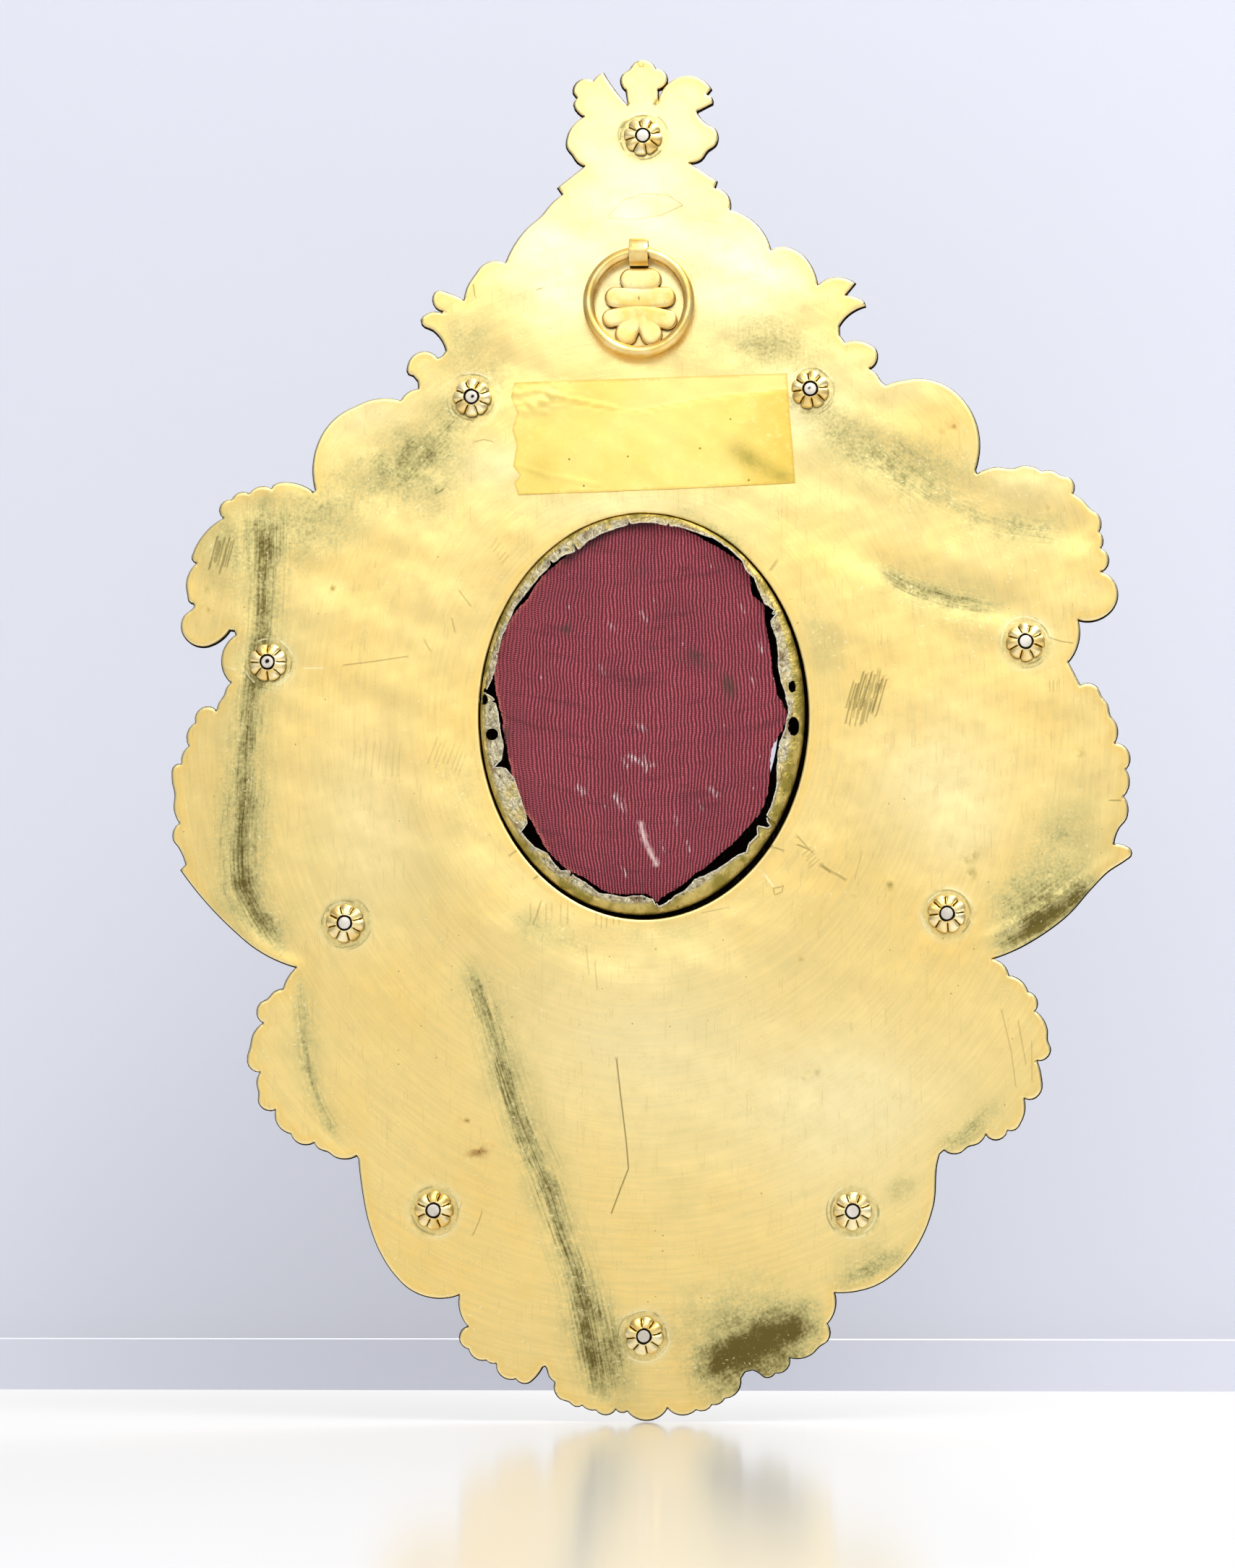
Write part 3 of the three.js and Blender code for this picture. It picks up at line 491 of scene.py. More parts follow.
# The two sheets
def wave(x, z):
    """How far the sheets wave towards the front."""
    aside = np.maximum(np.abs(x - FLAT_FIELD["x"]) - FLAT_FIELD["half_wide"], 0)
    above = np.maximum(np.abs(z - FLAT_FIELD["z"]) - FLAT_FIELD["half_high"], 0)
    free = smooth_step(0, FLAT_FIELD["fade"], np.hypot(aside, above))
    reach = np.hypot((x - OVAL["x"]) / OVAL["a"], (z - OVAL["z"]) / OVAL["b"])
    collar = -COLLAR["rise"] * bell(reach - COLLAR["reach"], COLLAR["spread"])
    margins = sum(
        fall * smooth_step(start, end, value)
        for (start, end, fall), value in ((MARGIN_LEFT, x), (MARGIN_RIGHT, x), (FOOT, z), (CROWN, z))
    )
    ripple = np.sin(x / RIPPLE["length_x"] + RIPPLE["phase"]) * np.cos(z / RIPPLE["length_z"])
    return free * (collar + margins + RIPPLE["height"] * ripple)


def oval_reach(x, z):
    """0 at the opening in the plate and 1 at the oval that encloses the rim."""
    low, high = np.full(len(x), -0.4), np.full(len(x), 1.4)
    for _ in range(24):
        t = (low + high) / 2
        a = OVAL["a"] + (SHEET_REACH["a"] - OVAL["a"]) * t
        b = OVAL["b"] + (SHEET_REACH["b"] - OVAL["b"]) * t
        outside = ((x - OVAL["x"]) / a) ** 2 + ((z - OVAL["z"]) / b) ** 2 > 1
        low, high = np.where(outside, t, low), np.where(outside, high, t)
    return (low + high) / 2


def rim_of(node):
    """The outer edge of a sheet node, in millimetres, counter-clockwise with +Z up."""
    bm = bmesh.new()
    bm.from_mesh(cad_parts[node].data)
    bmesh.ops.remove_doubles(bm, verts=bm.verts, dist=2e-6)
    bm.normal_update()
    follow = {}
    for edge in bm.edges:
        if len(edge.link_faces) != 2:
            continue
        back, side = sorted(edge.link_faces, key=lambda face: face.normal.y)
        if back.normal.y < -0.5 and abs(side.normal.y) < 0.2:
            for corner in back.loops:
                if corner.edge == edge:
                    follow[corner.vert.index] = corner.link_loop_next.vert.index
    bm.verts.ensure_lookup_table()
    longest = []
    while follow:
        start = next(iter(follow))
        chain, at = [], start
        while at in follow:
            chain.append((bm.verts[at].co.x / MM, bm.verts[at].co.z / MM))
            at = follow.pop(at)
        if at == start and len(chain) > len(longest):
            longest = chain
    bm.free()
    kept = list(longest)
    again = True
    while again:
        again = False
        for i in range(len(kept)):
            (ax, az), (bx, bz), (cx, cz) = kept[i - 1], kept[i], kept[(i + 1) % len(kept)]
            chord = math.hypot(cx - ax, cz - az)
            if abs((cx - ax) * (bz - az) - (cz - az) * (bx - ax)) < 0.02 * chord:
                kept.pop(i)
                again = True
                break
    return kept


def inside_loop(loop, x, z):
    """Says which places lie inside a closed loop."""
    inside = np.zeros(len(x), bool)
    for (ax, az), (bx, bz) in zip(loop, loop[1:] + loop[:1]):
        if az != bz:
            inside ^= ((az > z) != (bz > z)) & (x < ax + (z - az) / (bz - az) * (bx - ax))
    return inside


def fill(loops, inner):
    """Triangles that fill a sheet inside its first loop and outside its other loops. Returns the
    places, the triangles and, for each loop's places in turn, their numbers."""
    places, edges = [], []
    for loop in loops:
        start = len(places)
        places += [Vector((x, z)) for x, z in loop]
        edges += [(start + i, start + (i + 1) % len(loop)) for i in range(len(loop))]
    loop_count = len(places)
    places += [Vector((p[0], p[1])) for p in inner]
    found, _, faces, origin, _, _ = delaunay_2d_cdt(places, edges, [], 1, 1e-5, True)
    came = [-1] * len(places)
    for new, old in enumerate(origin):
        for k in old:
            came[k] = new
    xz = np.array([(p.x, p.y) for p in found])
    triangles = np.array(faces)
    x, z = xz[triangles].mean(1).T
    kept = inside_loop(loops[0], x, z)
    for hole in loops[1:]:
        kept &= ~inside_loop(hole, x, z)
    return xz, triangles[kept], came[:loop_count]


def hex_grid(loop, step, keep):
    """Places on a slightly shaken triangular grid inside a loop, where keep says so."""
    edge = np.array(loop)
    (x0, z0), (x1, z1) = edge.min(0), edge.max(0)
    columns = np.arange(x0, x1, step)
    rows = np.arange(z0, z1, step * 0.866)
    x, z = np.meshgrid(columns, rows)
    x = x + (np.arange(len(rows)) % 2)[:, None] * step / 2
    dice = np.random.default_rng(11)
    x = (x + dice.uniform(-0.12, 0.12, x.shape) * step).ravel()
    z = (z + dice.uniform(-0.12, 0.12, z.shape) * step).ravel()
    inside = inside_loop(loop, x, z)
    return [(px, pz) for px, pz in zip(x[inside].tolist(), z[inside].tolist()) if keep(px, pz)]


def thick_sheet(name, loops, back, front, back_height, front_height):
    """A closed sheet: its back and its front are each filled on places of their own and joined
    by walls along the loops. Heights are along Y."""
    verts, faces, edge_places = [], [], []
    shift = 0
    back_count = 0
    for inner, height, flip in ((back, back_height, False), (front, front_height, True)):
        xz, triangles, on_loops = fill(loops, inner)
        y = height(xz[:, 0], xz[:, 1])
        used = np.unique(triangles)
        number = np.full(len(xz), -1)
        number[used] = np.arange(len(used)) + shift
        verts.append(np.stack([xz[used, 0], y[used], xz[used, 1]], 1))
        tri = number[triangles]
        faces += (tri[:, ::-1] if flip else tri).tolist()
        edge_places.append([int(number[i]) for i in on_loops])
        if not flip:
            back_count = len(used)
        shift += len(used)
    start = 0
    for loop in loops:
        count = len(loop)
        for i in range(count):
            j = (i + 1) % count
            a, b = edge_places[0][start + i], edge_places[0][start + j]
            c, d = edge_places[1][start + j], edge_places[1][start + i]
            faces.append([a, d, c, b])
        start += count
    return mesh_object(name, np.concatenate(verts), faces), back_count


# Pieces and hand tools
def mesh_object(name, verts, faces):
    """A new object from places in millimetres."""
    mesh = bpy.data.meshes.new(name)
    mesh.from_pydata((np.asarray(verts) * MM).tolist(), [], [list(f) for f in faces])
    mesh.update()
    obj = bpy.data.objects.new(name, mesh)
    bpy.context.scene.collection.objects.link(obj)
    return obj


def let_go():
    """Leaves edit mode and deselects everything, the frame's own nodes among it."""
    if bpy.context.object is not None and bpy.context.object.mode != "OBJECT":
        bpy.ops.object.mode_set(mode="OBJECT")
    bpy.ops.object.select_all(action="DESELECT")


def take(obj):
    let_go()
    obj.hide_set(False)
    obj.select_set(True)
    bpy.context.view_layer.objects.active = obj
    return obj


def started(name):
    """The primitive that was just added, named."""
    obj = bpy.context.object
    obj.name = name
    obj.data.name = name
    if obj.type == "MESH":
        bpy.ops.object.transform_apply(location=True, rotation=True, scale=True)
    return obj


def pick(obj, choose, what="VERT"):
    """Selects vertices, edges or faces by their place or normal, in edit mode."""
    if obj.mode != "EDIT":
        take(obj)
        bpy.ops.object.mode_set(mode="EDIT")
    bpy.ops.mesh.select_mode(type=what)
    bpy.ops.mesh.select_all(action="DESELECT")
    bm = bmesh.from_edit_mesh(obj.data)
    parts = {"VERT": bm.verts, "EDGE": bm.edges, "FACE": bm.faces}[what]
    for part in parts:
        if choose(part):
            part.select_set(True)
    bm.select_flush_mode()
    bmesh.update_edit_mesh(obj.data)


def apply_modifier(obj, kind, **settings):
    take(obj)
    modifier = obj.modifiers.new(kind.title(), kind)
    for key, value in settings.items():
        setattr(modifier, key, value)
    bpy.ops.object.modifier_apply(modifier=modifier.name)


def places_of(obj):
    """Every vertex's place in millimetres."""
    co = np.zeros(len(obj.data.vertices) * 3)
    obj.data.vertices.foreach_get("co", co)
    return co.reshape(-1, 3) / MM


def move_to(obj, places):
    obj.data.vertices.foreach_set("co", (np.asarray(places) * MM).ravel())
    obj.data.update()


def paint(obj, name, values):
    """Keeps one number for each vertex under a name that a material reads."""
    layer = obj.data.attributes.get(name) or obj.data.attributes.new(name, "FLOAT", "POINT")
    layer.data.foreach_set("value", np.asarray(values, np.float32))


def lay_grain(obj, u, v):
    """A UV map in millimetres along and across the grain."""
    layer = obj.data.uv_layers.new(name="grain")
    corner = np.zeros(len(obj.data.loops), np.int32)
    obj.data.loops.foreach_get("vertex_index", corner)
    layer.data.foreach_set("uv", np.stack([u[corner], v[corner]], 1).astype(np.float32).ravel())


def finish_piece(obj, material, body, replaced=(), sharp=40):
    """Gives a piece its material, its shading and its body."""
    take(obj)
    bpy.ops.object.transform_apply(location=True, rotation=True, scale=True)
    bpy.ops.object.shade_smooth_by_angle(angle=math.radians(sharp))
    obj.data.materials.clear()
    obj.data.materials.append(material)
    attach(obj, body)
    if replaced:
        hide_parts(*replaced)
    let_go()
    return obj


# Shader helpers
def node(tree, kind, values=None, **settings):
    """Adds a node; values are numbers or sockets, by the name or number of the input."""
    made = tree.nodes.new(kind)
    for key, value in settings.items():
        setattr(made, key, value)
    for key, value in (values or {}).items():
        socket = made.inputs[key]
        if isinstance(value, bpy.types.NodeSocket):
            tree.links.new(value, socket)
        else:
            socket.default_value = value
    return made


def maths(tree, how, first, second=0.5, clamp=False):
    return node(tree, "ShaderNodeMath", {0: first, 1: second}, operation=how, use_clamp=clamp).outputs[0]


def between(tree, value, low, high, to_low=0.0, to_high=1.0):
    """Maps a value from one range to another, smoothly and held at the ends."""
    return node(tree, "ShaderNodeMapRange", {
        "Value": value, "From Min": low, "From Max": high, "To Min": to_low, "To Max": to_high,
    }, interpolation_type="SMOOTHSTEP").outputs["Result"]


def blend(tree, share, first, second, how="MIX"):
    """Mixes two colours."""
    made = tree.nodes.new("ShaderNodeMix")
    made.data_type = "RGBA"
    made.blend_type = how
    for key, value in ((0, share), (6, first), (7, second)):
        if isinstance(value, bpy.types.NodeSocket):
            tree.links.new(value, made.inputs[key])
        elif key == 0:
            made.inputs[key].default_value = value
        else:
            made.inputs[key].default_value = (*value, 1.0)
    return made.outputs[2]


def stored(tree, name):
    return node(tree, "ShaderNodeAttribute", attribute_name=name).outputs["Fac"]


def new_group(name, inputs, outputs):
    """A node group with number, colour or vector sockets."""
    kinds = {"value": "NodeSocketFloat", "colour": "NodeSocketColor", "vector": "NodeSocketVector"}
    tree = bpy.data.node_groups.new(name, "ShaderNodeTree")
    for title, kind, default in inputs:
        socket = tree.interface.new_socket(name=title, in_out="INPUT", socket_type=kinds[kind])
        if default is not None:
            socket.default_value = default
    for title, kind in outputs:
        tree.interface.new_socket(name=title, in_out="OUTPUT", socket_type=kinds[kind])
    return tree, tree.nodes.new("NodeGroupInput"), tree.nodes.new("NodeGroupOutput")


def use_group(tree, group, values):
    made = tree.nodes.new("ShaderNodeGroup")
    made.node_tree = group
    for key, value in values.items():
        if isinstance(value, bpy.types.NodeSocket):
            tree.links.new(value, made.inputs[key])
        else:
            made.inputs[key].default_value = value
    return made


def specks_group():
    """Small scattered dots or dashes, each whole or absent: 1 on a speck. Stretch makes dashes."""
    tree, given, out = new_group(
        "Specks",
        [("Place", "vector", None), ("Apart mm", "value", 0.8), ("Stretch", "value", 1.0), ("Turn", "value", 0.0),
         ("Share", "value", 0.3), ("Size", "value", 0.25)],
        [("Speck", "value")],
    )
    turn = node(tree, "ShaderNodeCombineXYZ", {"Y": given.outputs["Turn"]}).outputs[0]
    stretch = node(tree, "ShaderNodeCombineXYZ", {
        "X": 1.0, "Y": 1.0, "Z": maths(tree, "DIVIDE", 1.0, given.outputs["Stretch"]),
    }).outputs[0]
    turned = node(tree, "ShaderNodeMapping", {"Vector": given.outputs["Place"], "Rotation": turn}).outputs[0]
    placed = node(tree, "ShaderNodeMapping", {"Vector": turned, "Scale": stretch}).outputs[0]
    cells = node(tree, "ShaderNodeTexVoronoi", {
        "Vector": placed, "Scale": maths(tree, "DIVIDE", 1000.0, given.outputs["Apart mm"]),
    })
    chance = node(tree, "ShaderNodeSeparateColor", {"Color": cells.outputs["Color"]})
    size = maths(tree, "MULTIPLY", given.outputs["Size"], between(tree, chance.outputs["Green"], 0.0, 1.0, 0.5, 1.3))
    dot = between(tree, cells.outputs["Distance"], size, maths(tree, "MULTIPLY", size, 0.6))
    present = maths(tree, "LESS_THAN", chance.outputs["Red"], given.outputs["Share"])
    tree.links.new(maths(tree, "MULTIPLY", dot, present), out.inputs["Speck"])
    return tree


def hairlines_group():
    """Sparse fine hairlines in three directions, as polishing and handling leave."""
    tree, given, out = new_group(
        "Hairlines",
        [("Place", "vector", None), ("Share", "value", 0.3)],
        [("Line", "value")],
    )
    total = None
    for turn, seed in ((12.0, 3.0), (71.0, 17.0), (-38.0, 41.0)):
        turned = node(tree, "ShaderNodeMapping", {
            "Vector": given.outputs["Place"],
            "Location": (seed * 0.01, 0.0, seed * 0.02),
            "Rotation": (0.0, math.radians(turn), 0.0),
            "Scale": (1.0, 1.0, 0.035),
        }).outputs[0]
        bent = node(tree, "ShaderNodeTexNoise", {
            "Vector": turned, "Scale": 2600.0, "Detail": 1.0, "Distortion": 0.0,
        }).outputs["Fac"]
        broken = node(tree, "ShaderNodeTexNoise", {
            "Vector": given.outputs["Place"], "Scale": 190.0 + seed, "Detail": 0.0,
        }).outputs["Fac"]
        line = maths(tree, "MULTIPLY", between(tree, bent, 0.66, 0.72), between(tree, broken, 0.5, 0.62))
        total = line if total is None else maths(tree, "MAXIMUM", total, line)
    result = maths(tree, "MULTIPLY", total, given.outputs["Share"], clamp=True)
    tree.links.new(result, out.inputs["Line"])
    return tree


def handled_metal_group(specks, hairlines):
    """Metal that has been handled: a colour that drifts, grime and painted shade in its hollows, and fine scratches."""
    tree, given, out = new_group(
        "Handled metal",
        [("Metal", "colour", (0.8, 0.6, 0.3, 1)), ("Worn", "colour", (0.9, 0.8, 0.5, 1)),
         ("Dirt And Shade", "colour", (0.05, 0.04, 0.01, 1)), ("Dirt Share", "value", 0.0),
         ("Fleck Share", "value", 0.3), ("Line Share", "value", 0.4), ("Smoothness", "value", 0.7)],
        [("Color", "colour"), ("Roughness", "value"), ("Height", "value")],
    )
    place = node(tree, "ShaderNodeTexCoord").outputs["Object"]
    drift = node(tree, "ShaderNodeTexNoise", {"Vector": place, "Scale": 260.0, "Detail": 3.0}).outputs["Fac"]
    spread = node(tree, "ShaderNodeTexNoise", {"Vector": place, "Scale": 900.0, "Detail": 4.0}).outputs["Fac"]
    light = use_group(tree, specks, {
        "Place": place, "Apart mm": 0.7, "Stretch": 2.5, "Turn": 0.6, "Share": given.outputs["Fleck Share"], "Size": 0.22,
    }).outputs["Speck"]
    dark = use_group(tree, specks, {
        "Place": place, "Apart mm": 0.9, "Share": given.outputs["Fleck Share"], "Size": 0.18,
    }).outputs["Speck"]
    line = use_group(tree, hairlines, {"Place": place, "Share": given.outputs["Line Share"]}).outputs["Line"]
    colour = blend(tree, between(tree, drift, 0.35, 0.7), given.outputs["Metal"], given.outputs["Worn"])
    colour = blend(tree, maths(tree, "MULTIPLY", light, 0.5), colour, given.outputs["Worn"])
    edge = maths(tree, "ADD", given.outputs["Dirt Share"], maths(tree, "MULTIPLY", maths(tree, "SUBTRACT", spread, 0.5), 0.5))
    dirt_and_shade = maths(tree, "MULTIPLY", between(tree, edge, 0.25, 0.75), between(tree, given.outputs["Dirt Share"], 0.0, 0.15))
    dirt_and_shade = maths(tree, "MAXIMUM", dirt_and_shade, maths(tree, "MULTIPLY", dark, 0.35))
    colour = blend(tree, dirt_and_shade, colour, given.outputs["Dirt And Shade"])
    colour = blend(tree, maths(tree, "MULTIPLY", line, 0.4), colour, given.outputs["Worn"])
    rough = maths(tree, "SUBTRACT", 1.0, given.outputs["Smoothness"])
    rough = maths(tree, "ADD", rough, maths(tree, "MULTIPLY", dirt_and_shade, 0.4))
    rough = maths(tree, "ADD", rough, maths(tree, "MULTIPLY", spread, 0.12), clamp=True)
    height = maths(tree, "SUBTRACT", maths(tree, "MULTIPLY", spread, 0.5), maths(tree, "MULTIPLY", line, 0.3))
    tree.links.new(colour, out.inputs["Color"])
    tree.links.new(rough, out.inputs["Roughness"])
    tree.links.new(height, out.inputs["Height"])
    return tree


def new_material(name):
    """A material with its Principled shader, and the tree to build on."""
    material = bpy.data.materials.new(name)
    material.use_nodes = True
    tree = material.node_tree
    return material, tree, tree.nodes["Principled BSDF"]


def dress(tree, shader, color=None, roughness=None, height=None, relief_mm=0.02, metallic=None):
    """Links colour, roughness and relief to the shader."""
    if color is not None:
        tree.links.new(color, shader.inputs["Base Color"])
    if roughness is not None:
        if isinstance(roughness, float):
            shader.inputs["Roughness"].default_value = roughness
        else:
            tree.links.new(roughness, shader.inputs["Roughness"])
    if metallic is not None:
        shader.inputs["Metallic"].default_value = metallic
    if height is not None:
        bump = node(tree, "ShaderNodeBump", {"Height": height, "Strength": 1.0, "Distance": relief_mm * MM})
        tree.links.new(bump.outputs["Normal"], shader.inputs["Normal"])


def gilt_material(plate, specks, hairlines):
    """Fire gilding: pale and warm gold with painted highlights, dull greenish bands that are partly tarnished gilding
    and partly painted shade and reflection in the creases, flecks, streaks and scratches.
    """
    material, tree, shader = new_material("gilt plate")
    place = node(tree, "ShaderNodeTexCoord").outputs["Object"]
    dull, warm, pale = stored(tree, "dull"), stored(tree, "warm"), stored(tree, "pale")
    streak_share, green, brown = stored(tree, "streak"), stored(tree, "green"), stored(tree, "brown")
    scratch, bright = stored(tree, "scratch"), stored(tree, "bright")
    broad = node(tree, "ShaderNodeTexNoise", {"Vector": place, "Scale": 55.0, "Detail": 4.0, "Roughness": 0.6}).outputs["Fac"]
    mottle = node(tree, "ShaderNodeTexNoise", {"Vector": place, "Scale": 330.0, "Detail": 5.0, "Roughness": 0.65}).outputs["Fac"]
    fine = node(tree, "ShaderNodeTexNoise", {"Vector": place, "Scale": 1500.0, "Detail": 3.0, "Roughness": 0.6}).outputs["Fac"]
    # The brushing runs round the opening, and the streaks run along the creases
    grain = node(tree, "ShaderNodeSeparateXYZ", {"Vector": node(tree, "ShaderNodeUVMap", uv_map="grain").outputs[0]})
    apart = node(tree, "ShaderNodeSeparateXYZ", {"Vector": place})
    along_x = maths(tree, "MULTIPLY", apart.outputs["X"], 75.0)
    along_z = maths(tree, "MULTIPLY", apart.outputs["Z"], 75.0)
    brush_place = node(tree, "ShaderNodeCombineXYZ", {
        "X": maths(tree, "MULTIPLY", grain.outputs["X"], 1.7), "Y": along_x, "Z": along_z,
    }).outputs[0]
    brushed = node(tree, "ShaderNodeTexNoise", {"Vector": brush_place, "Scale": 1.0, "Detail": 4.0, "Roughness": 0.65}).outputs["Fac"]
    streak_place = node(tree, "ShaderNodeCombineXYZ", {
        "X": maths(tree, "MULTIPLY", grain.outputs["Y"], 2.3), "Y": along_x, "Z": along_z,
    }).outputs[0]
    streak = node(tree, "ShaderNodeTexNoise", {"Vector": streak_place, "Scale": 1.0, "Detail": 4.0, "Roughness": 0.65}).outputs["Fac"]

    warm_share = maths(tree, "ADD", warm, between(tree, broad, 0.45, 0.7, 0.0, 0.4))
    warm_share = maths(tree, "ADD", warm_share, between(tree, mottle, 0.3, 0.75, -0.12, 0.14), clamp=True)
    colour = blend(tree, warm_share, tuple(plate.gilt), tuple(plate.warm_gilt))
    brush = between(tree, brushed, 0.36, 0.66)
    colour = blend(tree, maths(tree, "MULTIPLY", brush, 0.22), colour, tuple(plate.dull_gilt))
    # Painted highlights where the light lies on the sheet and along the rolled rim, with the pale rings round the nuts
    pale_share = maths(tree, "MULTIPLY", pale, between(tree, mottle, 0.2, 0.7, 0.75, 1.0), clamp=True)
    colour = blend(tree, pale_share, colour, tuple(plate.pale_gilt))

    # Dullness grows unevenly, and along the streaks where the sheet is creased; it is partly tarnished gilding and
    # partly painted shade and reflection
    pull = maths(tree, "MULTIPLY", maths(tree, "SUBTRACT", streak, 0.5), maths(tree, "MULTIPLY", streak_share, 1.5))
    pull = maths(tree, "ADD", pull, maths(tree, "MULTIPLY", maths(tree, "SUBTRACT", mottle, 0.5), 0.7))
    pull = maths(tree, "ADD", pull, maths(tree, "MULTIPLY", maths(tree, "SUBTRACT", fine, 0.5), 0.8))
    dull_share = maths(tree, "ADD", dull, maths(tree, "MULTIPLY", pull, between(tree, dull, 0.0, 0.4)))
    dull_share = maths(tree, "ADD", dull_share, between(tree, broad, 0.58, 0.3, -0.02, 0.16), clamp=True)
    tarnish_and_shade = blend(tree, between(tree, dull_share, 0.4, 1.0), tuple(plate.dull_gilt), tuple(plate.dark_gilt))
    colour = blend(tree, between(tree, dull_share, 0.02, 0.6, 0.0, 0.95), colour, tarnish_and_shade)
    # Dark streaks along the creased bands: painted shade and reflection over tarnished gilding
    dark_streak = maths(tree, "MULTIPLY", between(tree, streak, 0.6, 0.68), maths(tree, "MULTIPLY", streak_share, dull))
    colour = blend(tree, maths(tree, "MULTIPLY", dark_streak, 0.85, clamp=True), colour, tuple(plate.dark_gilt))

    dash_share = maths(tree, "ADD", maths(tree, "MULTIPLY", dull, 0.75), between(tree, broad, 0.5, 0.3, 0.06, 0.2))
    for turn in (0.5, -0.7, 1.5):
        dash = use_group(tree, specks, {
            "Place": place, "Apart mm": 0.95, "Stretch": 3.0, "Turn": turn, "Share": dash_share, "Size": 0.15,
        }).outputs["Speck"]
        colour = blend(tree, maths(tree, "MULTIPLY", dash, 0.5), colour, tuple(plate.pale_gilt))
    dots = use_group(tree, specks, {
        "Place": place, "Apart mm": 1.6, "Share": maths(tree, "ADD", maths(tree, "MULTIPLY", dull, 0.5), 0.06), "Size": 0.1,
    }).outputs["Speck"]
    colour = blend(tree, maths(tree, "MULTIPLY", dots, 0.6), colour, tuple(plate.dark_gilt))
    line = use_group(tree, hairlines, {"Place": place, "Share": 0.5}).outputs["Line"]
    colour = blend(tree, maths(tree, "MULTIPLY", line, 0.3), colour, tuple(plate.dull_gilt))

    spot_edge = between(tree, mottle, 0.38, 0.6, 0.15, 1.0)
    colour = blend(tree, maths(tree, "MULTIPLY", green, spot_edge, clamp=True), colour, tuple(plate.green_spot))
    colour = blend(tree, maths(tree, "MULTIPLY", brown, spot_edge, clamp=True), colour, tuple(plate.brown_spot))
    colour = blend(tree, maths(tree, "MULTIPLY", scratch, 0.9, clamp=True), colour, tuple(plate.dark_gilt))
    colour = blend(tree, bright, colour, tuple(plate.pale_gilt))

    rough = maths(tree, "ADD", between(tree, mottle, 0.2, 0.8, 0.24, 0.34), maths(tree, "MULTIPLY", dull_share, 0.14))
    rough = maths(tree, "ADD", rough, maths(tree, "MULTIPLY", maths(tree, "MAXIMUM", green, brown), 0.4), clamp=True)
    height = maths(tree, "MULTIPLY", mottle, 0.5)
    height = maths(tree, "ADD", height, maths(tree, "MULTIPLY", maths(tree, "MULTIPLY", streak, streak_share), 0.7))
    height = maths(tree, "ADD", height, maths(tree, "MULTIPLY", brushed, 0.3))
    height = maths(tree, "SUBTRACT", height, maths(tree, "MULTIPLY", line, 0.4))
    dress(tree, shader, colour, rough, height, 0.05, 1.0)
    return material


def metal_material(name, group, metal, worn, dirt_and_shade, smoothness, relief_mm, fleck_share=0.3, line_share=0.4):
    """A handled metal that reads its grime and painted shade from the piece's own painted hollows."""
    material, tree, shader = new_material(name)
    parts = use_group(tree, group, {
        "Metal": (*metal, 1), "Worn": (*worn, 1), "Dirt And Shade": (*dirt_and_shade, 1), "Dirt Share": stored(tree, "dirt_and_shade"),
        "Fleck Share": fleck_share, "Line Share": line_share, "Smoothness": smoothness,
    })
    dress(tree, shader, parts.outputs["Color"], parts.outputs["Roughness"], parts.outputs["Height"], relief_mm, 1.0)
    return material


def foil_material(cloth_side):
    """Thin gilt foil, crumpled and corroded: olive gold, grey and brown, with a painted highlight along the tab edges
    and painted shade down the wall.
    """
    material, tree, shader = new_material("crumpled foil")
    place = node(tree, "ShaderNodeTexCoord").outputs["Object"]
    rust, fold = stored(tree, "rust"), stored(tree, "fold")
    mottle = node(tree, "ShaderNodeTexNoise", {"Vector": place, "Scale": 900.0, "Detail": 6.0, "Roughness": 0.72, "Distortion": 0.6}).outputs["Fac"]
    broad = node(tree, "ShaderNodeTexNoise", {"Vector": place, "Scale": 260.0, "Detail": 4.0, "Distortion": 0.4}).outputs["Fac"]
    crease = node(tree, "ShaderNodeTexVoronoi", {"Vector": place, "Scale": 700.0}, feature="DISTANCE_TO_EDGE").outputs["Distance"]
    tab = blend(tree, between(tree, mottle, 0.38, 0.6), tuple(cloth_side.foil_grey), tuple(cloth_side.foil_light))
    tab = blend(tree, between(tree, broad, 0.5, 0.64, 0.0, 0.7), tab, tuple(cloth_side.foil_gold))
    share = maths(tree, "MULTIPLY", rust, between(tree, broad, 0.46, 0.36), clamp=True)
    tab = blend(tree, share, tab, tuple(cloth_side.foil_brown))
    tab = blend(tree, between(tree, mottle, 0.42, 0.34, 0.0, 0.85), tab, tuple(cloth_side.foil_dark))
    band = blend(tree, between(tree, broad, 0.35, 0.65), tuple(cloth_side.foil_gold), tuple(cloth_side.foil_olive))
    band = blend(tree, between(tree, mottle, 0.4, 0.32, 0.0, 0.6), band, tuple(cloth_side.foil_dark))
    colour = blend(tree, fold, tab, band)
    # Painted highlight along the raised edges of the tabs, then painted shade deep down the wall
    colour = blend(tree, maths(tree, "MULTIPLY", stored(tree, "lip"), 0.85, clamp=True), colour, linear(0.93, 0.92, 0.84))
    colour = blend(tree, stored(tree, "deep"), colour, linear(0.10, 0.08, 0.03))
    rough = between(tree, mottle, 0.3, 0.7, 0.32, 0.55)
    height = maths(tree, "ADD", maths(tree, "MULTIPLY", mottle, 1.3), maths(tree, "MULTIPLY", between(tree, crease, 0.0, 0.2), 0.5))
    height = maths(tree, "MULTIPLY", height, between(tree, fold, 0.0, 1.0, 1.0, 0.3))
    dress(tree, shader, colour, rough, height, 0.3, 0.85)
    return material


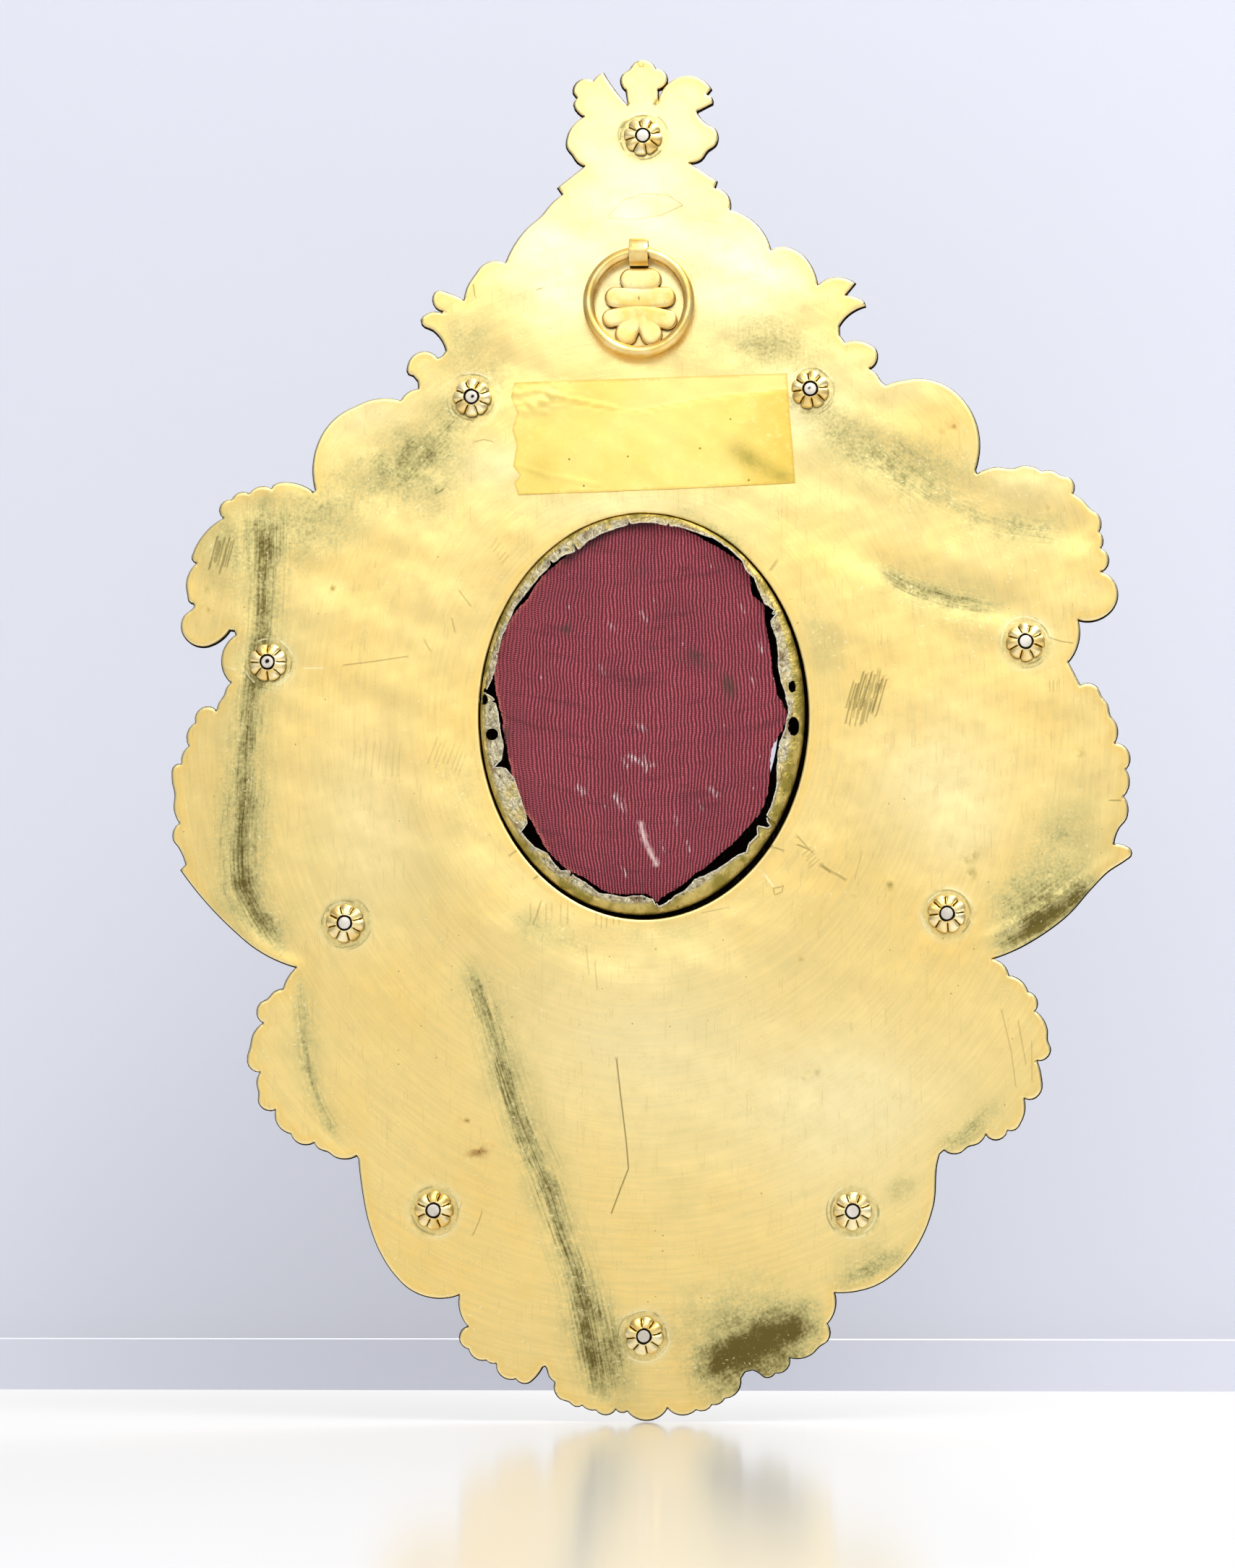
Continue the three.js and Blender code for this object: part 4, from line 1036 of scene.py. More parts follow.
def silk_material(cloth_side):
    """Crimson ribbed silk: rounded ribs bound by fine cross threads, worn pale in places."""
    material, tree, shader = new_material("crimson silk")
    weave = node(tree, "ShaderNodeUVMap", uv_map="grain").outputs[0]
    place = node(tree, "ShaderNodeTexCoord").outputs["Object"]
    parts = node(tree, "ShaderNodeSeparateXYZ", {"Vector": weave})
    shake = node(tree, "ShaderNodeTexNoise", {"Vector": weave, "Scale": 0.16, "Detail": 2.0}).outputs["Fac"]
    shiver = node(tree, "ShaderNodeTexNoise", {"Vector": weave, "Scale": 1.1, "Detail": 1.0}).outputs["Fac"]
    across = maths(tree, "ADD", parts.outputs["X"], maths(tree, "MULTIPLY", maths(tree, "SUBTRACT", shake, 0.5), 1.6))
    across = maths(tree, "ADD", across, maths(tree, "MULTIPLY", maths(tree, "SUBTRACT", shiver, 0.5), 0.16))
    ribs = maths(tree, "MULTIPLY", across, 2 * math.pi / cloth_side.rib_pitch)
    rib = maths(tree, "ADD", maths(tree, "MULTIPLY", maths(tree, "SINE", ribs), 0.5), 0.5)
    stagger = maths(tree, "MULTIPLY", maths(tree, "SINE", maths(tree, "MULTIPLY", ribs, 0.5)), 1.2)
    threads = maths(tree, "ADD", maths(tree, "MULTIPLY", parts.outputs["Y"], 2 * math.pi / cloth_side.thread_pitch), stagger)
    thread = maths(tree, "ADD", maths(tree, "MULTIPLY", maths(tree, "SINE", threads), 0.5), 0.5)
    body = maths(tree, "MULTIPLY", maths(tree, "POWER", rib, 0.7), maths(tree, "ADD", maths(tree, "MULTIPLY", thread, 0.36), 0.64))
    open_weave = stored(tree, "gauze")
    grid = maths(tree, "MULTIPLY", maths(tree, "ADD", thread, rib), 0.4)
    body = maths(tree, "ADD", maths(tree, "MULTIPLY", body, maths(tree, "SUBTRACT", 1.0, open_weave)), maths(tree, "MULTIPLY", grid, open_weave))
    cloud = node(tree, "ShaderNodeTexNoise", {"Vector": place, "Scale": 90.0, "Detail": 4.0}).outputs["Fac"]
    fine = node(tree, "ShaderNodeTexNoise", {"Vector": weave, "Scale": 2.6, "Detail": 3.0}).outputs["Fac"]
    # Watered bands lie across the ribs
    water_place = node(tree, "ShaderNodeMapping", {"Vector": weave, "Scale": (0.045, 0.32, 1.0), "Rotation": (0.0, 0.0, 0.06)}).outputs[0]
    water = node(tree, "ShaderNodeTexNoise", {"Vector": water_place, "Scale": 1.0, "Detail": 4.0, "Roughness": 0.65}).outputs["Fac"]
    # Darker between the ribs and lighter on them: the weave's colour together with painted shade of the rounded ribs
    colour = blend(tree, between(tree, body, 0.1, 0.72), tuple(cloth_side.silk_deep), tuple(cloth_side.silk))
    shine = maths(tree, "MULTIPLY", between(tree, body, 0.6, 0.95), between(tree, fine, 0.35, 0.7))
    colour = blend(tree, maths(tree, "MULTIPLY", shine, 0.75), colour, tuple(cloth_side.silk_light))
    colour = blend(tree, between(tree, cloud, 0.35, 0.72, 0.0, 0.2), colour, tuple(cloth_side.silk_deep))
    colour = blend(tree, between(tree, water, 0.52, 0.68, 0.0, 0.4), colour, tuple(cloth_side.silk_deep))
    frayed = node(tree, "ShaderNodeMapping", {"Vector": weave, "Scale": (2.6, 0.5, 1.0)}).outputs[0]
    fibre = node(tree, "ShaderNodeTexNoise", {"Vector": frayed, "Scale": 1.0, "Detail": 3.0}).outputs["Fac"]
    pale = maths(tree, "MULTIPLY", stored(tree, "pale"), between(tree, fibre, 0.4, 0.55))
    pale = maths(tree, "MULTIPLY", pale, between(tree, body, 0.25, 0.6), clamp=True)
    loose = use_group(tree, shared["specks"], {
        "Place": place, "Apart mm": 1.5, "Stretch": 2.4, "Share": between(tree, cloud, 0.5, 0.62, 0.0, 0.35), "Size": 0.13,
    }).outputs["Speck"]
    pale = maths(tree, "MAXIMUM", pale, maths(tree, "MULTIPLY", loose, maths(tree, "MULTIPLY", between(tree, body, 0.3, 0.6), 0.55)))
    colour = blend(tree, pale, colour, linear(0.95, 0.82, 0.83))
    worn = maths(tree, "MULTIPLY", stored(tree, "worn"), between(tree, fibre, 0.3, 0.5), clamp=True)
    colour = blend(tree, worn, colour, linear(0.93, 0.78, 0.76))
    colour = blend(tree, maths(tree, "MULTIPLY", stored(tree, "fuzz"), between(tree, fine, 0.3, 0.6), clamp=True), colour, linear(0.86, 0.46, 0.42))
    stain = maths(tree, "MULTIPLY", stored(tree, "stain"), between(tree, fine, 0.25, 0.5, 0.55, 1.0), clamp=True)
    colour = blend(tree, stain, colour, linear(0.32, 0.20, 0.16))
    colour = blend(tree, stored(tree, "shade"), colour, linear(0.20, 0.05, 0.09))
    height = maths(tree, "ADD", body, maths(tree, "MULTIPLY", fine, 0.15))
    dress(tree, shader, colour, 0.62, height, 0.34, 0.0)
    shader.inputs["Sheen Weight"].default_value = 0.2
    shader.inputs["Sheen Roughness"].default_value = 0.4
    return material


def tape_material(plate, specks):
    """Yellowed clear tape, with the dulled gilding showing through it."""
    material, tree, shader = new_material("yellowed tape")
    place = node(tree, "ShaderNodeTexCoord").outputs["Object"]
    thin, dull, edge = stored(tree, "thin"), stored(tree, "dull"), stored(tree, "edge")
    broad = node(tree, "ShaderNodeTexNoise", {"Vector": place, "Scale": 70.0, "Detail": 4.0}).outputs["Fac"]
    mottle = node(tree, "ShaderNodeTexNoise", {"Vector": place, "Scale": 500.0, "Detail": 5.0, "Roughness": 0.7}).outputs["Fac"]
    colour = blend(tree, between(tree, broad, 0.35, 0.65), linear(0.97, 0.87, 0.50), linear(0.95, 0.84, 0.44))
    colour = blend(tree, stored(tree, "deep"), colour, linear(0.90, 0.76, 0.32))
    colour = blend(tree, between(tree, mottle, 0.5, 0.8, 0.0, 0.5), colour, linear(1.0, 0.94, 0.62))
    colour = blend(tree, maths(tree, "MULTIPLY", thin, 0.75), colour, linear(0.98, 0.88, 0.55))
    ragged = maths(tree, "ADD", dull, maths(tree, "MULTIPLY", maths(tree, "SUBTRACT", mottle, 0.5), maths(tree, "MULTIPLY", dull, 2.6)), clamp=True)
    colour = blend(tree, maths(tree, "MULTIPLY", ragged, 0.75), colour, linear(0.62, 0.56, 0.22))
    dots = use_group(tree, specks, {
        "Place": place, "Apart mm": 0.95, "Stretch": 1.5, "Turn": 0.8,
        "Share": maths(tree, "ADD", maths(tree, "MULTIPLY", dull, 0.6), 0.16), "Size": 0.13,
    }).outputs["Speck"]
    colour = blend(tree, maths(tree, "MULTIPLY", dots, 0.6), colour, linear(0.58, 0.47, 0.16))
    pits = use_group(tree, specks, {"Place": place, "Apart mm": 3.2, "Share": 0.35, "Size": 0.07}).outputs["Speck"]
    colour = blend(tree, maths(tree, "MULTIPLY", pits, 0.8), colour, linear(0.45, 0.30, 0.08))
    # Darker along the edges, the fold and the wrinkle: painted shade
    colour = blend(tree, maths(tree, "MULTIPLY", edge, 0.65), colour, linear(0.80, 0.66, 0.28))
    height = maths(tree, "ADD", maths(tree, "MULTIPLY", broad, 0.6), maths(tree, "MULTIPLY", mottle, 0.3))
    dress(tree, shader, colour, between(tree, mottle, 0.3, 0.7, 0.28, 0.4), height, 0.08, 0.85)
    shader.inputs["Coat Weight"].default_value = 0.25
    shader.inputs["Coat Roughness"].default_value = 0.25
    return material


# Back plate and front sheet
def stroke_routes():
    """The short parallel strokes, one route each: (route in millimetres, width, depth of colour)."""
    made = []
    dice = random.Random(5)
    for px, py, half_long, half_wide, turn, count, depth in STROKE_GROUPS:
        x, z = spot(px, py)
        angle = math.radians(turn)
        along = (math.sin(angle), math.cos(angle))
        beside = (math.cos(angle), -math.sin(angle))
        for i in range(count):
            aside = (i / max(count - 1, 1) * 2 - 1) * half_wide + dice.uniform(-0.2, 0.2)
            start = -half_long * dice.uniform(0.35, 1.0)
            end = half_long * dice.uniform(0.35, 1.0)
            route = [(x + beside[0] * aside + along[0] * t, z + beside[1] * aside + along[1] * t) for t in (start, end)]
            made.append((route, dice.uniform(0.14, 0.3), depth * dice.uniform(0.6, 1.0)))
    return made


def ring_marks():
    """Worn and scratched rings round the nuts, as short arcs."""
    made = []
    dice = random.Random(9)
    for x, z in NUT_PLACES:
        for _ in range(9):
            radius = NUT_RADIUS + dice.uniform(0.5, 1.5)
            start = dice.uniform(0, 2 * math.pi)
            sweep = dice.uniform(0.25, 1.1)
            route = [(x + radius * math.cos(start + sweep * i / 5), z + radius * math.sin(start + sweep * i / 5))
                     for i in range(6)]
            made.append((route, dice.uniform(0.1, 0.2), dice.choice([0.6, 0.45, 0.35, -0.6])))
    return made


def all_marks():
    marks = [(spots(route), width, depth) for route, width, depth in SCRATCHES]
    return marks + stroke_routes() + ring_marks()


def places_on_marks(marks):
    """Places on and beside each mark, so that the mesh is fine enough to carry it."""
    made = []
    for route, width, _ in marks:
        line = resample(route, 0.55)
        for i, (x, z) in enumerate(line):
            a, b = line[max(i - 1, 0)], line[min(i + 1, len(line) - 1)]
            long = math.hypot(b[0] - a[0], b[1] - a[1]) or 1.0
            nx, nz = -(b[1] - a[1]) / long, (b[0] - a[0]) / long
            for aside in (0.0, width / 2, -width / 2, width / 2 + 0.14, -width / 2 - 0.14):
                made.append((x + nx * aside, z + nz * aside))
    return made


def crease_lift(x, z):
    """Small folds along the dull bands and dents from use, in millimetres towards the front."""
    lift = 0.06 * unevenness(x, z, 13.0, 2) + 0.02 * unevenness(x, z, 4.0, 4)
    for name, depth, width in (("left leaf", 0.35, 4.0), ("long crease", 0.4, 4.0), ("lower left leaf", 0.25, 3.0),
                               ("right leaf upper", 0.3, 5.0), ("right leaf lower", 0.3, 3.5),
                               ("left shoulder", 0.35, 6.0)):
        far, _ = from_route(x, z, spots(BANDS[name]["route"]))
        lift += depth * bell(far, width) * 0.8
    beak, _ = from_route(x, z, spots([(1360, 1300), (1425, 1268), (1480, 1232), (1530, 1192)]))
    here = patch(x, z, *spot(1460, 1262), 16.0, 13.0, 0)
    lift += (0.55 * smooth_step(-0.6, 3.0, beak) - 0.35 * bell(beak, 1.0)) * here
    return lift


def plate_height(rim_distance):
    def height(x, z):
        d = rim_distance(x, z)
        turn = np.clip(1 - d / 0.32, 0, 1)
        roll = 0.3 * (1 - np.sqrt(np.maximum(1 - turn ** 2, 0)))
        return PLATE_FACE_Y + wave(x, z) + crease_lift(x, z) * smooth_step(0, 4, d) + roll
    return height


def make_plate(plate, material):
    """The gilt back plate with its rolled rim, opening, stud holes, creases and marks."""
    rim = rounded_rim(rim_of("back_plate"), 0.62)
    opening = oval_loop(OVAL["a"], OVAL["b"], 360)
    bores = [oval_loop(STUD_HOLE, STUD_HOLE, 20, x, z) for x, z in NUT_PLACES]
    loops = [rim, opening, *bores]
    marks = all_marks()
    beside = rows_beside(rim, (0.14, 0.34, 0.7, 1.2), 0.7) + rows_beside(opening, (0.14, 0.34, 0.7, 1.3), 0.7)
    near_edge = nearest_to(rim + opening + [p for bore in bores for p in bore])
    on_marks = places_on_marks(marks)
    on_marks = [p for p in on_marks if near_edge(*p) > 0.5]
    near_taken = nearest_to([(x, z) for x, z, _ in beside] + on_marks)
    fine = hex_grid(rim, plate.grain, lambda x, z: near_edge(x, z) > 1.25 and near_taken(x, z) > 0.5)
    coarse = hex_grid(rim, 4.0, lambda x, z: near_edge(x, z) > 2.0)
    known = {(round(x, 4), round(z, 4)): d for x, z, d in beside}
    on_loop = {(round(x, 4), round(z, 4)) for x, z in rim + opening}
    near_rim = nearest_to(rim + opening)

    def rim_distance(x, z):
        made = np.empty(len(x))
        for i, (px, pz) in enumerate(zip(x, z)):
            key = (round(px, 4), round(pz, 4))
            made[i] = 0.0 if key in on_loop else known.get(key) or near_rim(px, pz)
        return made

    back_face = plate_height(rim_distance)

    def front_face(x, z):
        return PLATE_FACE_Y + PLATE_THICK + wave(x, z)

    inner = [(x, z) for x, z, _ in beside] + on_marks + fine
    obj, back_count = thick_sheet("back_plate_gilt", loops, inner, coarse, back_face, front_face)
    paint_plate(obj, marks, rim_distance, back_count)
    return finish_piece(obj, material, "plaque", ["back_plate"], 50)


def paint_plate(obj, marks, rim_distance, back_count):
    """Where the gilding is dull, warm, pale, stained or scratched; the dull parts are partly painted shade and the pale
    parts partly painted highlights.
    """
    x, y, z = places_of(obj).T
    u = np.hypot(x - OVAL["x"], (z - OVAL["z"]) / 1.15)
    v = np.zeros(len(x))
    dull, streak, warm, pale = (np.zeros(len(x)) for _ in range(4))
    for band in BANDS.values():
        route = soft_route(spots(band["route"]), 6.0)
        far, along = from_route(x, z, route)
        length = sum(math.dist(a, b) for a, b in zip(route, route[1:]))
        ends = smooth_step(-6, 8, along) * smooth_step(length + 6, length - 8, along)
        left, right = band["fade"]
        wobble = 1 + 0.25 * unevenness(x, z, 9.0, 21)
        share = bell(far, np.where(far < 0, left, right) * wobble) * ends
        broad = bell(far, np.where(far < 0, left, right) * 2.6) * ends
        dull = np.maximum(dull, band["dark"] * np.maximum(share, 0.45 * broad))
        near = (np.abs(far) < 3.4 * max(left, right)) & (along > -9) & (along < length + 9)
        v = np.where(near, far, v)
        streak = np.maximum(streak, band["streak"] * broad * smooth_step(3.2, 2.2, np.abs(far) / max(left, right)))
    for px, py, half_x, half_z, turn, depth in DULL_PATCHES:
        share = depth * patch(x, z, *spot(px, py), half_x, half_z, turn)
        dull = dull + share * (1 - dull)
    for px, py, half_x, half_z, turn, depth in WARM_PATCHES:
        warm = warm + depth * patch(x, z, *spot(px, py), half_x, half_z, turn) * (1 - warm)
    for px, py, half_x, half_z, turn, depth in PALE_PATCHES:
        pale = pale + depth * patch(x, z, *spot(px, py), half_x, half_z, turn) * (1 - pale)
    d = rim_distance(x[:back_count], z[:back_count])
    d = np.concatenate([d, np.zeros(len(x) - back_count)])
    # A warm band and a thin pale line along the rim: painted highlight on the rolled edge
    warm = np.maximum(warm, 0.8 * bell(d - 0.9, 0.8))
    pale = np.maximum(pale, 0.5 * bell(d - 0.3, 0.2))
    # Darker round the foot of each nut: painted shade; a pale ring a little further out
    for nx, nz in NUT_PLACES:
        r = np.hypot(x - nx, z - nz)
        dull = np.maximum(dull, 0.35 * bell(r - NUT_RADIUS - 0.7, 0.9))
        pale = np.maximum(pale, 0.35 * bell(r - NUT_RADIUS - 1.6, 0.5))
    green, brown, scratch, bright = (np.zeros(len(x)) for _ in range(4))
    for spots_of, kept in ((GREEN_SPOTS, green), (BROWN_SPOTS, brown)):
        for px, py, half_x, half_z, turn, depth in spots_of:
            kept[:] = np.maximum(kept, depth * patch(x, z, *spot(px, py), half_x * 1.2, half_z * 1.2, turn))
    for route, width, depth in marks:
        xs, zs = [p[0] for p in route], [p[1] for p in route]
        near = (x > min(xs) - 1) & (x < max(xs) + 1) & (z > min(zs) - 1) & (z < max(zs) + 1)
        far, along = from_route(x[near], z[near], route)
        share = abs(depth) * smooth_step(width / 2 + 0.12, width / 2, np.abs(far))
        kept = scratch if depth > 0 else bright
        kept[near] = np.maximum(kept[near], share)
    for name, values in (("dull", dull), ("streak", streak), ("warm", warm), ("pale", pale), ("green", green),
                         ("brown", brown), ("scratch", scratch), ("bright", bright)):
        paint(obj, name, np.clip(values, 0, 1))
    lay_grain(obj, u, v)


def front_lift(x, z, rim_distance):
    """Embossing of the front sheet: window moulding, leaf ribs, flutes and a flat flange at the rim."""
    t = oval_reach(x, z)
    knots = [p[0] for p in RELIEF_PROFILE]
    rises = [p[1] for p in RELIEF_PROFILE]
    at = np.clip(np.searchsorted(knots, t) - 1, 0, len(knots) - 2)
    low, high = np.array(knots)[at], np.array(knots)[at + 1]
    share = np.clip((t - low) / (high - low), 0, 1)
    share = share * 0.5 + share * share * (3 - 2 * share) * 0.5
    base = np.array(rises)[at] + (np.array(rises)[at + 1] - np.array(rises)[at]) * share
    direction = np.degrees(np.arctan2(z - OVAL["z"], x - OVAL["x"]))
    rib = np.zeros(len(x))
    vein = np.zeros(len(x))
    for axis in RIB_DIRECTIONS:
        turn = np.abs((direction - axis + 180) % 360 - 180)
        rib = np.maximum(rib, bell(turn, RIB_SPREAD))
        vein = np.maximum(vein, bell(turn, 1.3))
    d = rim_distance(x, z)
    grown = smooth_step(0.15, 0.45, t)
    embossed = base + RIB_RISE * rib * grown - 0.5 * vein * smooth_step(0.25, 0.5, t)
    flutes = 0.28 * np.cos(np.radians(direction) * 84) * smooth_step(0.35, 0.6, t) * smooth_step(1.0, 6.0, d)
    return (embossed + flutes) * smooth_step(0.4, RIM_FADE, d)


BEADS = {"count": 64, "reach": 0.1, "radius": 1.45}


def bead_places():
    a = OVAL["a"] + (SHEET_REACH["a"] - OVAL["a"]) * BEADS["reach"]
    b = OVAL["b"] + (SHEET_REACH["b"] - OVAL["b"]) * BEADS["reach"]
    loop = closed_curve(oval_loop(a, b, 90), 0.2)
    walked = np.cumsum([math.dist(p, q) for p, q in zip(loop, loop[1:] + loop[:1])])
    return [loop[int(np.searchsorted(walked, walked[-1] * i / BEADS["count"])) % len(loop)] for i in range(BEADS["count"])]


def make_front(plate, material):
    """The embossed front sheet in dark silver, a little larger than the plate."""
    rim = rounded_rim(rim_of("front_relief"), 0.8)
    a = OVAL["a"] + (SHEET_REACH["a"] - OVAL["a"]) * WINDOW_REACH
    b = OVAL["b"] + (SHEET_REACH["b"] - OVAL["b"]) * WINDOW_REACH
    window = oval_loop(a, b, 260)
    beads = bead_places()
    beside = rows_beside(rim, (0.2, 0.6, 1.2), 0.9) + rows_beside(window, (0.25, 0.7), 0.8)
    on_beads = [(x + r * math.cos(i * math.pi / 6), z + r * math.sin(i * math.pi / 6))
                for x, z in beads for r in (0.01, 0.7, 1.2, 1.45) for i in range(12)]
    near_edge = nearest_to(rim + window)
    near_taken = nearest_to([(x, z) for x, z, _ in beside] + on_beads)
    fine = hex_grid(rim, plate.grain * 1.15, lambda x, z: near_edge(x, z) > 1.4 and near_taken(x, z) > 0.5)
    coarse = hex_grid(rim, 3.0, lambda x, z: near_edge(x, z) > 1.6)
    near_rim = nearest_to(rim)
    bead_tree = nearest_to(beads)

    def rim_distance(x, z):
        return np.array([near_rim(px, pz) for px, pz in zip(x, z)])

    def back_face(x, z):
        return PLATE_FACE_Y + PLATE_THICK + CLEARANCE + wave(x, z) + front_lift(x, z, rim_distance)

    def front_face(x, z):
        bead_gap = np.array([bead_tree(px, pz) for px, pz in zip(x, z)])
        bead = np.sqrt(np.maximum(BEADS["radius"] ** 2 - bead_gap ** 2, 0)) * 0.8
        hammered = 0.05 * unevenness(x, z, 2.6, 31)
        return back_face(x, z) + FRONT_THICK + bead + hammered

    inner = [(x, z) for x, z, _ in beside] + on_beads + fine
    obj, back_count = thick_sheet("front_relief_silver", [rim, window], coarse, inner, back_face, front_face)
    x, y, z = places_of(obj).T
    lift = y - PLATE_FACE_Y - wave(x, z)
    around = unevenness(x, z, 6.0, 8)
    t = oval_reach(x, z)
    knots = [p[0] for p in RELIEF_PROFILE]
    hollow = np.interp(t, knots, [p[1] for p in RELIEF_PROFILE]) + 2.6 - lift
    paint(obj, "dirt_and_shade", np.clip(0.45 + 0.35 * hollow + 0.12 * around, 0.12, 1))
    return finish_piece(obj, material, "plaque", ["front_relief"], 50)


# Nuts and studs
def model_nut():
    """One rosette nut at the origin, with its face up: petals cut into a short round bar."""
    let_go()
    bpy.ops.mesh.primitive_cylinder_add(
        vertices=96, radius=NUT_RADIUS * MM, depth=NUT_HEIGHT * MM, end_fill_type="NGON", location=(0, 0, NUT_HEIGHT / 2 * MM),
    )
    obj = started("rosette_nut")
    pick(obj, lambda e: abs(e.verts[0].co.z - e.verts[1].co.z) > MM, "EDGE")
    bpy.ops.mesh.subdivide(number_cuts=4)
    pick(obj, lambda f: f.normal.z > 0.9, "FACE")
    for inset in (0.10, 0.14, 0.2, 0.28, 0.34, 0.38, 0.36, 0.3, 0.22, 0.12):
        bpy.ops.mesh.inset(thickness=inset * MM, depth=0)
    bpy.ops.mesh.extrude_region_move(TRANSFORM_OT_translate={"value": (0, 0, -1.1 * MM)})
    bpy.ops.object.mode_set(mode="OBJECT")
    places = places_of(obj)
    r = np.hypot(places[:, 0], places[:, 1])
    petal = 2 * math.pi / 8
    turn = np.arctan2(places[:, 1], places[:, 0]) / petal
    from_valley = np.abs(turn - np.round(turn)) * petal
    bulge = 1 - (1 - from_valley / (petal / 2)) ** 2
    outward = np.clip((r - 1.66) / (NUT_RADIUS - 1.66), 0, 1)
    groove = np.exp(-((from_valley * r / 0.16) ** 2)) * smooth_step(0.02, 0.2, outward)
    top = (places[:, 2] > NUT_HEIGHT - 0.01) & (r > 1.6)
    fall = 0.42 * outward ** 1.8 + 0.4 * smooth_step(0.86, 1.0, outward) ** 2
    height = NUT_HEIGHT - fall - 0.42 * groove - 0.3 * (1 - bulge) * outward
    share = np.clip(places[:, 2] / NUT_HEIGHT, 0, 1)
    rim_height = height if len(height) else 0
    places[:, 2] = np.where(top, height, np.where(r > 3.9, share * rim_height, places[:, 2]))
    pinch = 1 - 0.11 * (1 - bulge) ** 1.6 * smooth_step(0.4, 1.0, outward)
    places[:, :2] *= pinch[:, None]
    move_to(obj, places)
    # Darker in the petal grooves, down the side wall near the base, in the bore and round its edge: painted shade
    wall = smooth_step(0.99, 1.0, outward) * smooth_step(1.15, 0.5, places[:, 2])
    bore = (r < 1.7) & (places[:, 2] < NUT_HEIGHT - 0.3)
    collar = bell(r - 1.66, 0.1)
    paint(obj, "dirt_and_shade", np.clip(np.maximum.reduce([smooth_step(0.25, 0.8, groove), wall * 0.85, bore * 1.0, 0.7 * collar]), 0, 1))
    return obj


def model_stud():
    """One stud end at the origin, face up: a filed bar with a broken edge and a slight dome."""
    let_go()
    bpy.ops.mesh.primitive_cylinder_add(
        vertices=32, radius=STUD_RADIUS * MM, depth=6.0 * MM, end_fill_type="NGON", location=(0, 0, -3.0 * MM),
    )
    obj = started("stud")
    pick(obj, lambda f: abs(f.normal.z) > 0.9, "FACE")
    bpy.ops.mesh.inset(thickness=0.16 * MM, depth=0.09 * MM)
    pick(obj, lambda f: f.normal.z > 0.99, "FACE")
    bpy.ops.mesh.inset(thickness=0.45 * MM, depth=0.03 * MM)
    bpy.ops.mesh.inset(thickness=0.45 * MM, depth=0.015 * MM)
    bpy.ops.mesh.poke()
    bpy.ops.object.mode_set(mode="OBJECT")
    apply_modifier(obj, "SUBSURF", levels=1, render_levels=1)
    return obj


def face_back(obj, turn):
    """Turns a piece modelled face up so that it faces -Y, after a turn about its own axis."""
    obj.data.transform(Matrix.Rotation(math.radians(90), 4, "X") @ Matrix.Rotation(math.radians(turn), 4, "Z"))


def copy_of(obj, name):
    made = obj.copy()
    made.data = obj.data.copy()
    made.name = name
    made.data.name = name
    bpy.context.scene.collection.objects.link(made)
    return made


def make_nuts(fittings, nut_material, stud_material):
    """Ten nuts and ten studs, each a copy of one model, set where the frame has them."""
    nut, stud = model_nut(), model_stud()
    for i, (x, z) in enumerate(NUT_PLACES):
        number = f"{i + 1:02d}"
        low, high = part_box(f"rosette_nut_{number}")
        dice = random.Random(40 + i)
        piece = copy_of(nut, f"rosette_nut_{number}_brass")
        face_back(piece, NUT_TURNS[i])
        places = places_of(piece)
        seat = PLATE_FACE_Y + float(wave(np.array([x]), np.array([z]))[0]) + 0.15
        top = low.y / MM
        reach = places[:, 1].min()
        places[:, 1] = seat + places[:, 1] / reach * (top - seat)
        lean = dice.uniform(-0.015, 0.015), dice.uniform(-0.015, 0.015)
        places[:, 1] += places[:, 0] * lean[0] + places[:, 2] * lean[1]
        places[:, 0] += x
        places[:, 2] += z
        places[:, 0] += 0.06 * unevenness(places[:, 0], places[:, 2], 2.5, 60 + i)
        places[:, 2] += 0.06 * unevenness(places[:, 0], places[:, 2], 2.5, 80 + i)
        places[:, 1] = np.maximum(places[:, 1], low.y / MM)
        move_to(piece, places)
        finish_piece(piece, nut_material, "plaque", [f"rosette_nut_{number}"], 38)
        low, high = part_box(f"stud_{number}")
        pin = copy_of(stud, f"stud_{number}_silver")
        face_back(pin, dice.uniform(0, 360))
        places = places_of(pin)
        start, end = low.y / MM, high.y / MM
        long = places[:, 1].max() - places[:, 1].min()
        deep = places[:, 1] > 1.0
        places[deep, 1] += (end - start) - long
        places[:, 1] += start - places[:, 1].min()
        places[:, 0] += x
        places[:, 2] += z
        move_to(pin, places)
        # Painted shade round the stud's broken edge, and painted dark reflections on three of the faces
        r = np.hypot(places[:, 0] - x, places[:, 2] - z)
        dark_reflection = np.zeros(len(r))
        if i in (3, 1, 2):
            dark_reflection = {3: 1.0, 1: 0.8, 2: 0.6}[i] * patch(places[:, 0], places[:, 2], x + dice.uniform(-0.3, 0.3), z + dice.uniform(-0.3, 0.3), 0.6, 0.5, 40)
        paint(pin, "dirt_and_shade", np.clip(smooth_step(STUD_RADIUS - 0.2, STUD_RADIUS - 0.02, r) + dark_reflection, 0, 1))
        finish_piece(pin, stud_material, "plaque", [f"stud_{number}"], 38)
    for used in (nut, stud):
        bpy.data.objects.remove(used)


# Hanger and ring
# Each petal of the flower, in millimetres: middle of its inner end, middle of its outer end, half width
FLOWER_PETALS = [
    ("top", (-1.7, -5.5), (2.3, -5.5), 2.5), ("upper left", (-0.4, -9.7), (-5.1, -9.35), 2.3),
    ("upper right", (0.4, -9.7), (5.5, -9.4), 2.3), ("left", (-0.6, -12.9), (-6.0, -13.85), 2.0),
    ("right", (0.6, -13.0), (6.0, -14.3), 2.15), ("lower left", (-1.1, -13.2), (-2.8, -17.35), 2.45),
    ("lower right", (1.1, -13.2), (2.55, -17.35), 2.4),
]


